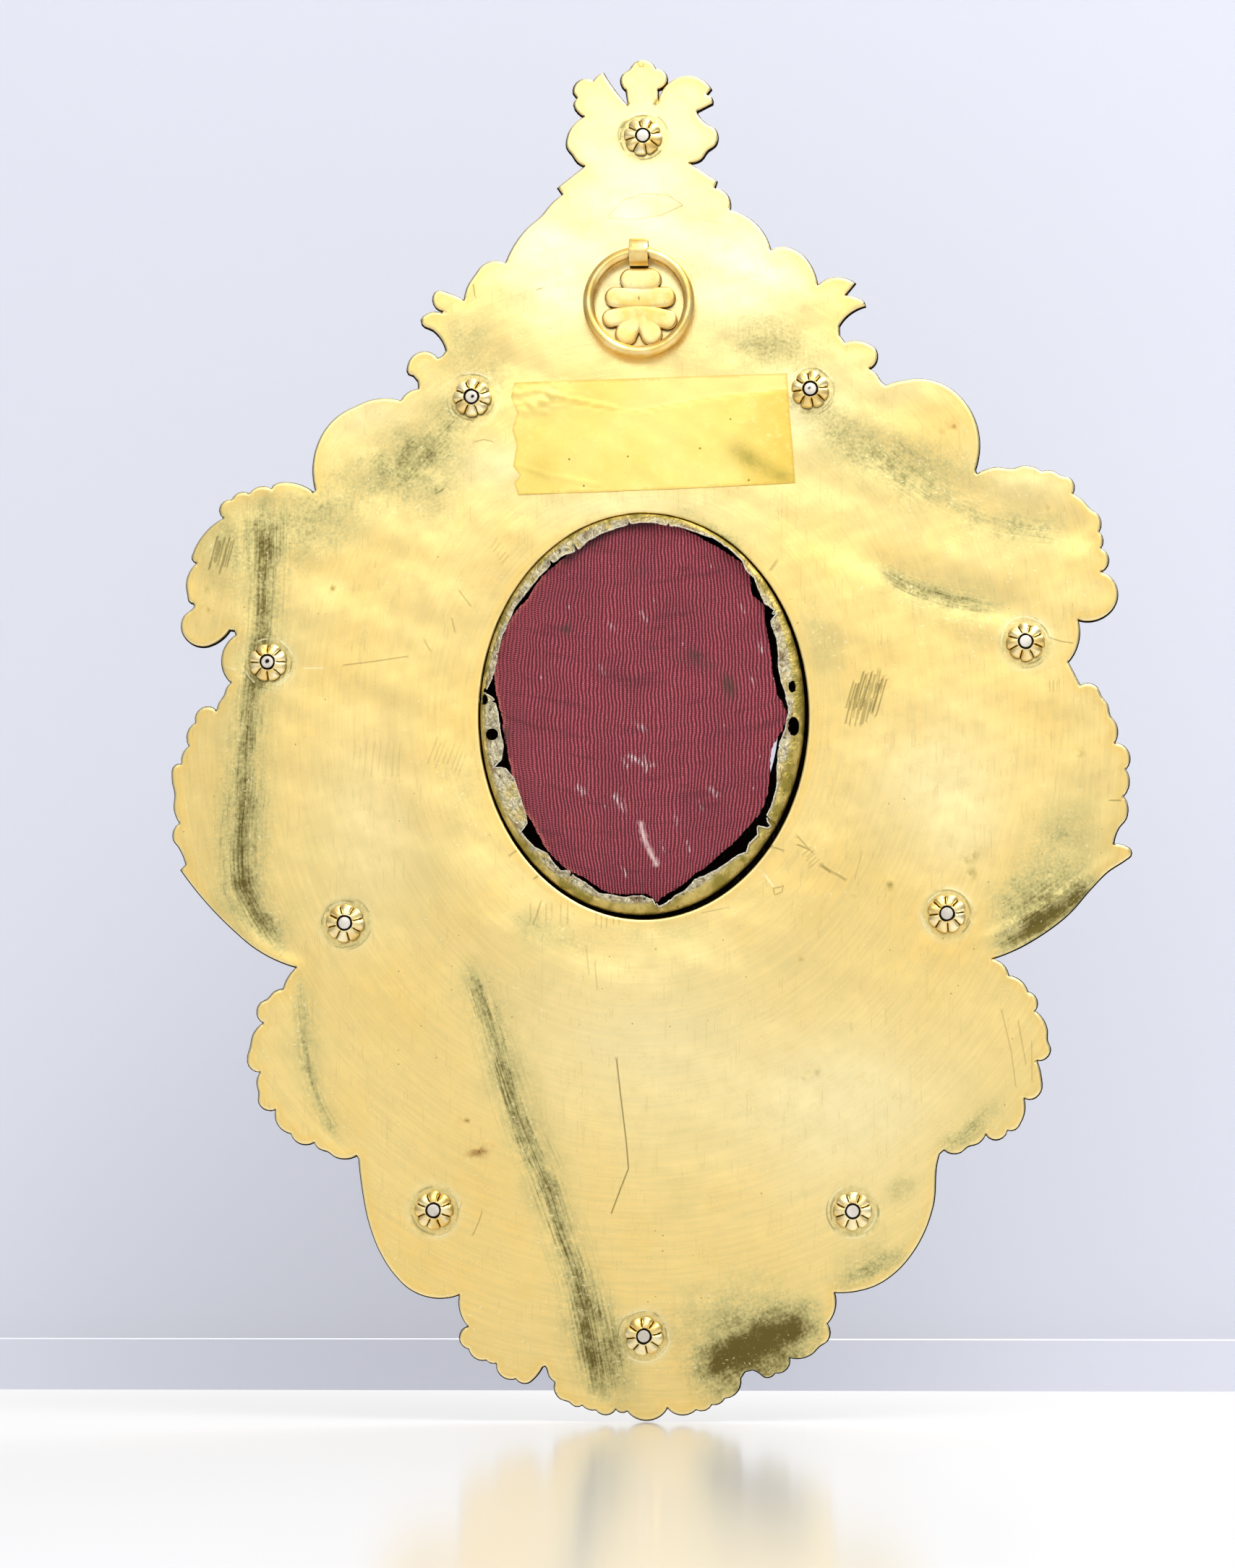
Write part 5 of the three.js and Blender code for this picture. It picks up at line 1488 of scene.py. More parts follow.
def make_hanger(fittings, material):
    """A strap bent into a loop and the flower plate it is riveted under."""
    let_go()
    mid = (LOOP["inner"] + LOOP["outer"]) / 2
    bpy.ops.mesh.primitive_cylinder_add(
        vertices=48, radius=mid * MM, depth=LOOP["width"] * MM, end_fill_type="NOTHING", rotation=(0, math.radians(90), 0),
    )
    strap = started("strap")
    bpy.ops.object.transform_apply(rotation=True)
    pick(strap, lambda e: abs(e.verts[0].co.x - e.verts[1].co.x) > 1 * MM, "EDGE")
    bpy.ops.mesh.subdivide(number_cuts=3)
    bpy.ops.object.mode_set(mode="OBJECT")
    apply_modifier(strap, "SOLIDIFY", thickness=(LOOP["outer"] - LOOP["inner"]) * MM, offset=0.0)
    apply_modifier(strap, "BEVEL", width=0.12 * MM, segments=2, limit_method="ANGLE", angle_limit=math.radians(50))
    parts = [strap]
    let_go()
    bpy.ops.mesh.primitive_cube_add(
        size=1, location=(0, 2.45 * MM, -3.0 * MM), scale=(LOOP["width"] * MM, 0.65 * MM, 5.2 * MM),
    )
    neck = started("strap_end")
    apply_modifier(neck, "BEVEL", width=0.1 * MM, segments=2)
    parts.append(neck)
    for name, (ax, az), (bx, bz), half in FLOWER_PETALS:
        let_go()
        bpy.ops.mesh.primitive_uv_sphere_add(segments=48, ring_count=24, radius=half * MM)
        petal = started("petal_" + name.replace(" ", "_"))
        pick(petal, lambda v: v.co.z < -0.05 * MM)
        bpy.ops.mesh.delete(type="VERT")
        pick(petal, lambda e: e.is_boundary, "EDGE")
        bpy.ops.mesh.extrude_region_move(TRANSFORM_OT_translate={"value": (0, 0, -0.9 * MM)})
        bpy.ops.mesh.edge_face_add()
        long = math.hypot(bx - ax, bz - az)
        pick(petal, lambda v: v.co.x > 0.02 * MM)
        bpy.ops.transform.translate(value=(long * MM, 0, 0))
        bpy.ops.object.mode_set(mode="OBJECT")
        places = places_of(petal)
        dome = places[:, 2] > 0
        rise = np.clip(places[:, 2] / half, 0, 1)
        flat = np.sqrt(np.maximum(1 - (1 - rise) ** 2.6, 0))
        outer = smooth_step(0, long + half, places[:, 0])
        places[:, 2] = np.where(dome, flat * (0.95 + 0.15 * outer), places[:, 2])
        turn = math.atan2(bz - az, bx - ax)
        along, beside = places[:, 0], places[:, 1]
        move_to(petal, np.stack([
            ax + along * math.cos(turn) - beside * math.sin(turn),
            FLOWER_FACE_Y + 0.55 - places[:, 2],
            az + along * math.sin(turn) + beside * math.cos(turn),
        ], 1))
        take(petal)
        bpy.ops.object.mode_set(mode="EDIT")
        bpy.ops.mesh.select_all(action="SELECT")
        bpy.ops.mesh.normals_make_consistent(inside=False)
        bpy.ops.object.mode_set(mode="OBJECT")
        parts.append(petal)
    let_go()
    for part in parts:
        part.select_set(True)
    bpy.context.view_layer.objects.active = strap
    bpy.ops.object.join()
    strap.name = "ring_hanger_brass"
    places = places_of(strap)
    # Painted shade under the flower's petals towards the plate, and inside the strap loop
    edge = np.zeros(len(places))
    flower = places[:, 2] < -3.4
    edge[flower] = smooth_step(1.75, 2.3, places[flower, 1])
    inside = (np.hypot(places[:, 1], places[:, 2]) < mid) & ~flower
    edge[inside] = 0.8
    paint(strap, "dirt_and_shade", edge)
    return finish_piece(strap, material, "plaque", ["ring_hanger"], 35)


def make_ring(fittings, material):
    """The hanging ring: round wire bent and butted, a little uneven."""
    let_go()
    bpy.ops.mesh.primitive_torus_add(
        major_segments=144, minor_segments=32, major_radius=RING["radius"] * MM, minor_radius=RING["wire"] * MM,
        rotation=(math.radians(90), 0, 0), location=(0, 0, -RING["radius"] * MM),
    )
    ring = started("hanging_ring_brass")
    bpy.ops.object.transform_apply(location=True, rotation=True)
    pick(ring, lambda v: abs(math.atan2(v.co.x, v.co.z + RING["radius"] * MM) - 2.6) < 0.03)
    bpy.ops.transform.resize(value=(0.992, 0.96, 0.992))
    bpy.ops.object.mode_set(mode="OBJECT")
    places = places_of(ring)
    turn = np.arctan2(places[:, 0], places[:, 2] + RING["radius"])
    swell = 0.02 * np.sin(turn * 3 + 1) + 0.02 * np.sin(turn * 7)
    out = np.hypot(places[:, 0], places[:, 2] + RING["radius"]) - RING["radius"]
    scale = 1 - 0.012 + swell * 0.3
    places[:, 1] *= scale
    middle = np.stack([np.sin(turn) * RING["radius"], np.zeros(len(turn)), np.cos(turn) * RING["radius"] - RING["radius"]], 1)
    places[:, 0] = middle[:, 0] + (places[:, 0] - middle[:, 0]) * scale
    places[:, 2] = middle[:, 2] + (places[:, 2] - middle[:, 2]) * scale
    move_to(ring, places)
    # Painted shade on the inner side of the wire and at the top where the ring hangs in the loop, and the dark butt
    # seam
    seam = bell(np.abs(np.abs(turn) - 2.6) * RING["radius"], 0.15) * (turn > 0)
    at_loop = smooth_step(0.25, 0.05, np.abs(turn))
    paint(ring, "dirt_and_shade", np.clip(0.5 * smooth_step(0.2, 1.0, -out / RING["wire"]) * (places[:, 1] > -0.6) + seam + 0.4 * at_loop, 0, 1))
    return finish_piece(ring, material, "ring", ["hanging_ring"], 60)


# Capsule, silk and tape
def around_oval(places):
    """Direction in degrees and distance from the middle of the opening, for a list of places."""
    made = [(math.degrees(math.atan2(z - OVAL["z"], x - OVAL["x"])), math.hypot(x - OVAL["x"], z - OVAL["z"])) for x, z in places]
    return sorted(made)


def reader_round(pairs):
    """Reads a value that is given at some directions at every direction."""
    angles = np.array([p[0] for p in pairs])
    values = np.array([p[1] for p in pairs])
    angles = np.concatenate([angles - 360, angles, angles + 360])
    values = np.concatenate([values, values, values])
    return lambda direction: np.interp(direction, angles, values)


def make_capsule(cloth, material):
    """The foil cup: its edge is cut into tabs that are folded over the silk and crumpled."""
    turns = 900
    direction = np.linspace(-180, 180, turns, endpoint=False)
    rad = np.radians(direction)
    edge_r = reader_round(around_oval(resample(spots(TAB_EDGE) + spots(TAB_EDGE[:1]), 0.4)))(direction)
    gap = reader_round([(a, g) for a, g, _ in CAPSULE_FIT[:-1]])(direction)
    fold = reader_round([(a, f) for a, _, f in CAPSULE_FIT[:-1]])(direction)
    opening = 1 / np.hypot(np.cos(rad) / OVAL["a"], np.sin(rad) / OVAL["b"])
    wall = opening - gap
    cuts = sorted((around_oval([spot(px, py)])[0][0], rise) for px, py, rise in TAB_CUTS)
    cut_angles = np.array([c[0] for c in cuts])
    number = (np.searchsorted(cut_angles, direction) - 1) % len(cuts)
    rise = np.array([c[1] for c in cuts])[number]
    cut_gap = np.min(np.abs((direction[:, None] - cut_angles[None, :] + 180) % 360 - 180), axis=1) * np.radians(1) * 36
    edge_r = np.minimum(edge_r, wall - 0.9)
    edge_r = edge_r + (wall - fold * 0.7 - 0.6 - edge_r) * bell(cut_gap, 0.22) * 0.85
    flat_steps, fold_steps, wall_steps = 14, 8, 6
    rows = []
    for k in range(flat_steps + 1):
        s = k / flat_steps
        r = edge_r + (np.maximum(wall - fold, edge_r + 0.4) - edge_r) * s
        x, z = OVAL["x"] + r * np.cos(rad), OVAL["z"] + r * np.sin(rad)
        crumple = 0.5 - np.abs(unevenness(x, z, 3.4, 51)) + 0.5 * (0.5 - np.abs(unevenness(x, z, 1.6, 52)))
        lifted = rise * (1 - s) ** 1.2 + 0.3 * (1 - s) ** 4
        y = 2.45 - lifted * 0.75 + crumple * (0.3 + 0.5 * (1 - s)) * 0.5
        rows.append((x, np.clip(y, 0.9, 3.0), z))
    flat_y = rows[-1][1]
    start_r = np.maximum(wall - fold, edge_r + 0.4)
    for k in range(1, fold_steps + 1):
        turn = math.pi / 2 * k / fold_steps
        r = start_r + (wall - start_r) * math.sin(turn)
        y = flat_y + np.minimum(fold, 2.0) * (1 - math.cos(turn))
        x, z = OVAL["x"] + r * np.cos(rad), OVAL["z"] + r * np.sin(rad)
        dent = 0.12 * unevenness(x, z, 4.0, 53) * math.sin(2 * turn)
        rows.append((x, y + dent, z))
    deep_y = rows[-1][1]
    for k in range(1, wall_steps + 1):
        y = deep_y + (CAPSULE["front_y"] - deep_y) * k / wall_steps
        r = wall - 0.1 * np.abs(unevenness(direction, y, 20.0, 54))
        rows.append((OVAL["x"] + r * np.cos(rad), y, OVAL["z"] + r * np.sin(rad)))
    verts = np.concatenate([np.stack(row, 1) for row in rows])
    faces = []
    for k in range(len(rows) - 1):
        for i in range(turns):
            j = (i + 1) % turns
            faces.append([k * turns + i, (k + 1) * turns + i, (k + 1) * turns + j, k * turns + j])
    keep = []
    for face in faces:
        x, y, z = verts[face].mean(0)
        torn = any(
            ((x - spot(px, py)[0]) / (half_x * PIXEL)) ** 2 + ((z - spot(px, py)[1]) / (half_z * PIXEL)) ** 2 < 1
            for px, py, half_x, half_z in TAB_HOLES
        ) and y < 4.5
        if not torn:
            keep.append(face)
    obj = mesh_object("capsule_foil", verts, keep)
    take(obj)
    bpy.ops.object.mode_set(mode="EDIT")
    bpy.ops.mesh.select_all(action="SELECT")
    bpy.ops.mesh.delete_loose()
    bpy.ops.object.mode_set(mode="OBJECT")
    places = places_of(obj)
    for px, py, half_x, half_z in TAB_HOLES:
        hx, hz = spot(px, py)
        a, b = half_x * PIXEL, half_z * PIXEL
        away = np.hypot((places[:, 0] - hx) / a, (places[:, 2] - hz) / b)
        near = (away < 1.16) & (places[:, 1] < 4.5)
        places[near, 0] = hx + (places[near, 0] - hx) / away[near] * 1.02
        places[near, 2] = hz + (places[near, 2] - hz) / away[near] * 1.02
    move_to(obj, places)
    r = np.hypot(places[:, 0] - OVAL["x"], places[:, 2] - OVAL["z"])
    angle = np.degrees(np.arctan2(places[:, 2] - OVAL["z"], places[:, 0] - OVAL["x"]))
    inner = np.interp(angle, direction, edge_r)
    turned = np.interp(angle, direction, start_r)
    apply_modifier(obj, "SOLIDIFY", thickness=0.22 * MM, offset=-1.0)
    places = places_of(obj)
    r = np.hypot(places[:, 0] - OVAL["x"], places[:, 2] - OVAL["z"])
    angle = np.degrees(np.arctan2(places[:, 2] - OVAL["z"], places[:, 0] - OVAL["x"]))
    inner = np.interp(angle, direction, edge_r)
    turned = np.interp(angle, direction, start_r)
    # lip: painted highlight along the tab edges
    paint(obj, "lip", smooth_step(0.32, 0.05, r - inner))
    paint(obj, "fold", smooth_step(-0.7, 0.3, r - turned))
    # deep: painted shade down the wall into the gap round the capsule
    paint(obj, "deep", smooth_step(3.4, 7.0, places[:, 1]))
    paint(obj, "rust", np.clip(0.5 + 0.5 * unevenness(places[:, 0], places[:, 2], 5.0, 55), 0, 1))
    return finish_piece(obj, material, "plaque", ["capsule"], 60)


def make_silk(cloth, material):
    """The silk, stretched over the capsule: an uneven, frayed edge and a fold at the lower right."""
    edge = closed_curve(spots(SILK_EDGE), 0.5)
    dice = random.Random(3)
    ragged = [(x + dice.uniform(-0.14, 0.14), z + dice.uniform(-0.14, 0.14)) for x, z in edge][::-1]
    near_edge = nearest_to(ragged)
    pale_lines = [(soft_route(spots(route), 0.4), width, depth) for route, width, depth in SILK_PALE]
    on_lines = [(x + a, z) for route, width, _ in pale_lines for x, z in resample(route, 0.35) for a in (-0.45, -0.2, 0, 0.2, 0.45)]
    near_lines = nearest_to(on_lines)
    grid = hex_grid(ragged, cloth.silk_grain, lambda x, z: near_edge(x, z) > 0.5 and near_lines(x, z) > 0.25)
    xz, triangles, _ = fill([ragged], on_lines + grid)
    x, z = xz.T
    reach = np.hypot((x - OVAL["x"]) / 33.3, (z - OVAL["z"]) / 41.6)
    fold, _ = from_route(x, z, soft_route(spots(SILK_FOLD), 2.0))
    crease, _ = from_route(x, z, soft_route(spots([(918, 926), (955, 932), (997, 944)]), 2.0))
    y = 2.62 + 0.75 * smooth_step(0.72, 1.02, reach)
    y += 0.10 * unevenness(x, z, 11.0, 70) * smooth_step(1.0, 0.8, reach)
    y += 0.9 * smooth_step(-0.4, 2.2, -fold) * smooth_step(9, 5, np.abs(fold))
    y -= 0.3 * bell(fold - 0.8, 0.9)
    y += 0.22 * bell(crease, 0.7)
    used = np.unique(triangles)
    number = np.full(len(xz), -1)
    number[used] = np.arange(len(used))
    obj = mesh_object("silk_panel_cloth", np.stack([x, y, z], 1)[used], number[triangles])
    x, y, z, fold = x[used], y[used], z[used], fold[used]
    height = (z - OVAL["z"]) / 41.6
    narrowing = 1 - np.where(height > 0, 0.13, 0.22) * height ** 2
    lay_grain(obj, (x - 2.0) / narrowing, z - 0.02 * x ** 2 * 0.3)
    pale, stain, worn = np.zeros(len(x)), np.zeros(len(x)), np.zeros(len(x))
    for route, width, depth in pale_lines:
        far, _ = from_route(x, z, route)
        kept = worn if depth > 1 else pale
        kept[:] = np.maximum(kept, min(depth, 1) * smooth_step(width, width * 0.3, np.abs(far)))
    for px, py, half_x, half_z, turn, depth in SILK_STAINS:
        stain = np.maximum(stain, depth * patch(x, z, *spot(px, py), half_x, half_z, turn))
    rim_gap = np.array([near_edge(px, pz) for px, pz in zip(x, z)])
    left = smooth_step(-10, -24, x)
    paint(obj, "pale", pale)
    paint(obj, "worn", worn)
    paint(obj, "stain", stain)
    paint(obj, "gauze", smooth_step(7.5, 3.0, rim_gap) * left)
    fuzz = 0.8 * smooth_step(0.9, 0.1, rim_gap) * smooth_step(-8, -20, x) * (unevenness(x, z, 6.0, 71) > -0.3)
    paint(obj, "fuzz", np.clip(fuzz, 0, 1))
    top_left, _ = from_route(x, z, spots([(783, 772), (820, 745), (858, 726), (900, 722)]))
    shade = 0.75 * bell(top_left, 1.1) + 0.85 * smooth_step(-0.3, 1.8, -fold) * smooth_step(8, 4, np.abs(fold))
    paint(obj, "shade", np.clip(shade, 0, 1))
    apply_modifier(obj, "SOLIDIFY", thickness=cloth.silk_thick, offset=-1.0)
    finish_piece(obj, material, "plaque", ["silk_panel"], 80)
    return obj


def make_tape(cloth, material):
    """The tape patch: two layers, a wrinkled upper left corner and a torn left end."""
    edge = resample(spots(TAPE_EDGE) + spots(TAPE_EDGE[:1]), 0.5)[:-1][::-1]
    near_edge = nearest_to(edge)
    grid = hex_grid(edge, 0.62, lambda x, z: near_edge(x, z) > 0.35)
    xz, triangles, _ = fill([edge], grid)
    x, z = xz.T
    fold, _ = from_route(x, z, spots([(700, 556), (770, 552), (880, 566), (980, 548), (1094, 536)]))
    wrinkle, _ = from_route(x, z, spots([(706, 540), (740, 534), (790, 548), (850, 560)]))
    second, _ = from_route(x, z, spots([(716, 640), (760, 655), (830, 668)]))
    y = 3.16 - 0.06 * smooth_step(-0.3, 0.3, fold) + 0.02 * unevenness(x, z, 7.0, 90)
    corner = patch(x, z, *spot(745, 545), 6.0, 3.5, 0)
    y -= corner * (0.09 + 0.12 * np.abs(unevenness(x, z, 2.8, 91)))
    y -= 0.08 * bell(wrinkle, 0.35) + 0.04 * bell(second, 0.3)
    obj = mesh_object("tape_patch_film", np.stack([x, y, z], 1), triangles)
    rim_gap = np.array([near_edge(px, pz) for px, pz in zip(x, z)])
    dull = 0.9 * patch(x, z, *spot(1035, 632), 4.5, 2.2, -30) + 0.7 * patch(x, z, *spot(1080, 658), 4.0, 1.6, -20)
    dull = dull + 0.3 * patch(x, z, *spot(745, 645), 4, 4, 0) + 0.2 * patch(x, z, *spot(770, 552), 6, 2, 10)
    paint(obj, "dull", np.clip(dull, 0, 1))
    paint(obj, "deep", 0.8 * smooth_step(16, 32, x) * (1 - 0.6 * smooth_step(0.3, -0.3, fold)))
    paint(obj, "thin", smooth_step(0.3, -0.3, fold) * smooth_step(-8, 4, x) + 0.6 * corner)
    # Edges, fold and wrinkle darkened: painted shade
    line = bell(fold, 0.25) * 0.7 + bell(wrinkle, 0.3) * 0.5
    paint(obj, "edge", np.clip(smooth_step(0.35, 0.02, rim_gap) + line, 0, 1))
    apply_modifier(obj, "SOLIDIFY", thickness=0.1 * MM, offset=-1.0)
    return finish_piece(obj, material, "plaque", ["tape_patch"], 60)


# Stage
def make_stage(stage):
    """Pale floor and backdrop, soft lights and the camera at the photograph's viewing angle."""
    let_go()
    floor_z = -248.3
    wall_y = stage.wall_gap / MM
    ledge_y, ledge_z = wall_y - 12.0, floor_z + 12.5
    profile = [(-1400, floor_z), (ledge_y, floor_z), (ledge_y, ledge_z), (wall_y, ledge_z), (wall_y, 500)]
    for name, parts, color, rough in (
        ("pale_floor", profile[:2], stage.floor_colour, 0.12), ("pale_backdrop", profile[1:], stage.wall_colour, 0.6),
    ):
        bpy.ops.mesh.primitive_plane_add(size=1)
        obj = started(name)
        pick(obj, lambda v: True)
        bpy.ops.mesh.delete(type="VERT")
        bpy.ops.object.mode_set(mode="OBJECT")
        verts = [(side, y, z) for y, z in parts for side in (-1500, 1500)]
        faces = [[2 * i, 2 * i + 1, 2 * i + 3, 2 * i + 2] for i in range(len(parts) - 1)]
        obj.data.from_pydata((np.array(verts, float) * MM).tolist(), [], faces)
        obj.data.update()
        material, tree, shader = new_material(name.replace("_", " "))
        place = node(tree, "ShaderNodeTexCoord").outputs["Object"]
        drift = node(tree, "ShaderNodeTexNoise", {"Vector": place, "Scale": 4.0, "Detail": 2.0}).outputs["Fac"]
        colour = blend(tree, between(tree, drift, 0.3, 0.7, 0.0, 0.25), tuple(color), tuple(c * 0.93 for c in color))
        tree.links.new(colour, shader.inputs["Base Color"])
        shader.inputs["Roughness"].default_value = rough
        shader.inputs["IOR"].default_value = 1.25
        clear = node(tree, "ShaderNodeBsdfTransparent")
        behind = node(tree, "ShaderNodeNewGeometry").outputs["Backfacing"]
        mix = node(tree, "ShaderNodeMixShader", {0: behind, 1: shader.outputs[0], 2: clear.outputs[0]})
        tree.links.new(mix.outputs[0], tree.nodes["Material Output"].inputs["Surface"])
        obj.data.materials.append(material)
        if name == "pale_backdrop":
            obj.visible_diffuse = False
            obj.visible_glossy = False
            obj.visible_shadow = False
    let_go()

    world = bpy.data.worlds.new("soft studio")
    bpy.context.scene.world = world
    world.use_nodes = True
    tree = world.node_tree
    background = tree.nodes["Background"]
    direction = node(tree, "ShaderNodeTexCoord").outputs["Generated"]
    parts = node(tree, "ShaderNodeSeparateXYZ", {"Vector": direction})
    height = between(tree, parts.outputs["Z"], -0.35, 0.4)
    aside = between(tree, maths(tree, "ABSOLUTE", parts.outputs["X"], 0.0), 0.15, 0.8)
    colour = blend(tree, height, tuple(stage.low_light), tuple(stage.high_light))
    colour = blend(tree, maths(tree, "MULTIPLY", aside, 0.7), colour, tuple(stage.side_light))
    tree.links.new(colour, background.inputs["Color"])
    background.inputs["Strength"].default_value = stage.world_strength

    aim = Vector((0, 0, -0.1))
    for name, place, size, power in (
        ("key softbox", (0.45, -0.75, 0.85), (0.8, 0.6), stage.key_power),
        ("upper softbox", (-0.02, -1.3, 0.47), (1.1, 0.36), stage.upper_power),
        ("front side softbox", (0.3, 1.1, 0.5), (1.0, 1.0), stage.front_power),
    ):
        bpy.ops.object.light_add(type="AREA", location=place)
        light = started(name)
        light.data.shape = "RECTANGLE"
        light.data.size, light.data.size_y = size
        light.data.energy = power
        light.rotation_euler = (aim - Vector(place)).to_track_quat("-Z", "Y").to_euler()

    bpy.ops.object.camera_add(location=tuple(stage.camera_place))
    camera = started("camera")
    middle = Vector((spot(854, 1084)[0] * MM, PLATE_FACE_Y * MM, spot(854, 1084)[1] * MM))
    toward = middle - camera.location
    camera.rotation_euler = toward.to_track_quat("-Z", "Y").to_euler()
    camera.data.sensor_width = 36.0
    high = 2168 * PIXEL * MM
    camera.data.lens = camera.data.sensor_width * toward.length / high * 1.004
    camera.data.clip_start, camera.data.clip_end = 0.01, 20.0
    bpy.context.scene.camera = camera
    bpy.context.scene.view_settings.view_transform = "Standard"
    bpy.context.scene.view_settings.look = "None"


# What a user can change
def colour_of(title, words, red, green, blue):
    return FloatVectorProperty(
        name=title, description=words, subtype="COLOR", size=3, min=0.0, max=1.0, default=linear(red, green, blue),
    )


class PlateSettings(bpy.types.PropertyGroup):
    """Colours and fineness of the gilt plate and the front sheet."""

    grain: FloatProperty(name="Mesh grain", description="Distance between places on the plate, in millimetres", default=1.05, min=0.5, max=4.0)
    gilt: colour_of("Gilding", "Main colour of the gilding", 0.98, 0.87, 0.57)
    warm_gilt: colour_of("Warm gilding", "Deeper, more orange gilding", 0.98, 0.84, 0.50)
    # The pale gilding is also the colour of the painted highlights
    pale_gilt: colour_of("Pale gilding", "Gilding where it is cleanest", 1.0, 0.96, 0.76)
    # Dull and dark gilding also paint the shade and reflection in the creased bands
    dull_gilt: colour_of("Dull gilding", "Greenish, tarnished gilding", 0.78, 0.74, 0.50)
    dark_gilt: colour_of("Dark gilding", "The darkest tarnish and scratches", 0.36, 0.32, 0.14)
    green_spot: colour_of("Green spots", "Verdigris spots", 0.42, 0.40, 0.13)
    brown_spot: colour_of("Brown spots", "Brown stains", 0.50, 0.30, 0.08)
    silver: colour_of("Front silver", "Dark silver of the front sheet", 0.52, 0.49, 0.43)


class FittingSettings(bpy.types.PropertyGroup):
    """Colours of the nuts, studs, hanger and ring."""

    nut_brass: colour_of("Nut brass", "Brass of the rosette nuts", 0.93, 0.80, 0.48)
    ring_brass: colour_of("Ring brass", "Brass of the ring and its hanger", 0.93, 0.78, 0.44)
    stud_silver: colour_of("Stud metal", "Silvery metal of the stud ends", 0.80, 0.77, 0.71)


class ClothSettings(bpy.types.PropertyGroup):
    """Sizes and colours of the silk, the foil capsule and the tape."""

    rib_pitch: FloatProperty(name="Rib pitch", description="Distance between the silk's ribs, in millimetres", default=0.78, min=0.3, max=2.0)
    thread_pitch: FloatProperty(name="Thread pitch", description="Distance between the cross threads, in millimetres", default=0.46, min=0.2, max=2.0)
    silk_grain: FloatProperty(name="Mesh grain", description="Distance between places on the silk, in millimetres", default=0.7, min=0.3, max=3.0)
    silk_thick: FloatProperty(name="Silk thickness", description="Thickness of the silk", default=0.00025, min=0.0001, max=0.001, subtype="DISTANCE", unit="LENGTH")
    silk: colour_of("Silk", "Crimson of the ribs", 0.70, 0.25, 0.31)
    silk_deep: colour_of("Silk between the ribs", "Dark red between the ribs", 0.33, 0.06, 0.10)
    silk_light: colour_of("Silk sheen", "Pink light on the ribs", 0.88, 0.52, 0.55)
    foil_grey: colour_of("Foil grey", "Corroded foil", 0.66, 0.63, 0.52)
    foil_gold: colour_of("Foil gold", "Foil where the gilding is left", 0.82, 0.73, 0.42)
    foil_brown: colour_of("Foil brown", "Brown corrosion", 0.50, 0.38, 0.22)
    foil_dark: colour_of("Foil dark", "Dark pits", 0.22, 0.20, 0.14)
    foil_light: colour_of("Foil light", "Clean foil", 0.90, 0.86, 0.72)
    foil_olive: colour_of("Foil olive", "Olive gold of the bent edge", 0.58, 0.52, 0.22)


class StageSettings(bpy.types.PropertyGroup):
    """Floor, backdrop, lights and camera."""

    floor_colour: colour_of("Floor", "Colour of the floor", 0.87, 0.87, 0.89)
    wall_colour: colour_of("Backdrop", "Colour of the backdrop", 0.86, 0.87, 0.91)
    low_light: colour_of("Low light", "Light from below the horizon", 0.80, 0.79, 0.77)
    high_light: colour_of("High light", "Light from above", 1.0, 1.0, 1.0)
    side_light: colour_of("Side light", "Light from the sides", 0.45, 0.46, 0.48)
    wall_gap: FloatProperty(name="Backdrop distance", description="How far behind the ring the backdrop stands", default=0.2, min=0.02, max=1.0, subtype="DISTANCE", unit="LENGTH")
    world_strength: FloatProperty(name="Room light", description="Strength of the light from all round", default=1.08, min=0.0, max=5.0)
    key_power: FloatProperty(name="Key light", description="Power of the softbox at the upper right", default=9.0, min=0.0, max=200.0, unit="POWER")
    upper_power: FloatProperty(name="Upper light", description="Power of the softbox above the camera", default=1.7, min=0.0, max=200.0, unit="POWER")
    front_power: FloatProperty(name="Front side light", description="Power of the light on the embossed side", default=12.0, min=0.0, max=200.0, unit="POWER")
    camera_place: FloatVectorProperty(name="Camera", description="Place of the camera", default=(0.048, -1.02, -0.205), size=3, subtype="TRANSLATION", unit="LENGTH")


shared = {}


class PLAQUE_OT_finishes(bpy.types.Operator):
    """Build the shader groups and the metals that the pieces share"""

    bl_idname = "plaque.finishes"
    bl_label = "Shared finishes"

    def execute(self, context):
        fittings = context.scene.plaque_fittings
        shared["specks"] = specks_group()
        shared["hairlines"] = hairlines_group()
        group = handled_metal_group(shared["specks"], shared["hairlines"])
        shared["nut brass"] = metal_material(
            "nut brass", group, tuple(fittings.nut_brass), linear(1.0, 0.95, 0.76), linear(0.27, 0.21, 0.07), 0.84, 0.02, 0.1, 0.4)
        shared["ring brass"] = metal_material(
            "ring brass", group, tuple(fittings.ring_brass), linear(0.97, 0.88, 0.62), linear(0.30, 0.22, 0.08), 0.76, 0.02, 0.1, 0.4)
        shared["stud silver"] = metal_material(
            "stud silver", group, tuple(fittings.stud_silver), linear(0.92, 0.90, 0.86), linear(0.12, 0.12, 0.14), 0.66, 0.06, 0.4, 1.0)
        shared["tarnished silver"] = metal_material(
            "tarnished silver", group, tuple(context.scene.plaque_plate.silver), linear(0.74, 0.71, 0.64), linear(0.11, 0.10, 0.08), 0.62, 0.04, 0.35, 0.4)
        return {"FINISHED"}


class PLAQUE_OT_plate(bpy.types.Operator):
    """Model the gilt back plate with its rolled rim, creases, scratches, and dull bands of tarnished gilding and
    painted shade
    """

    bl_idname = "plaque.plate"
    bl_label = "Back plate"

    def execute(self, context):
        plate = context.scene.plaque_plate
        make_plate(plate, gilt_material(plate, shared["specks"], shared["hairlines"]))
        return {"FINISHED"}


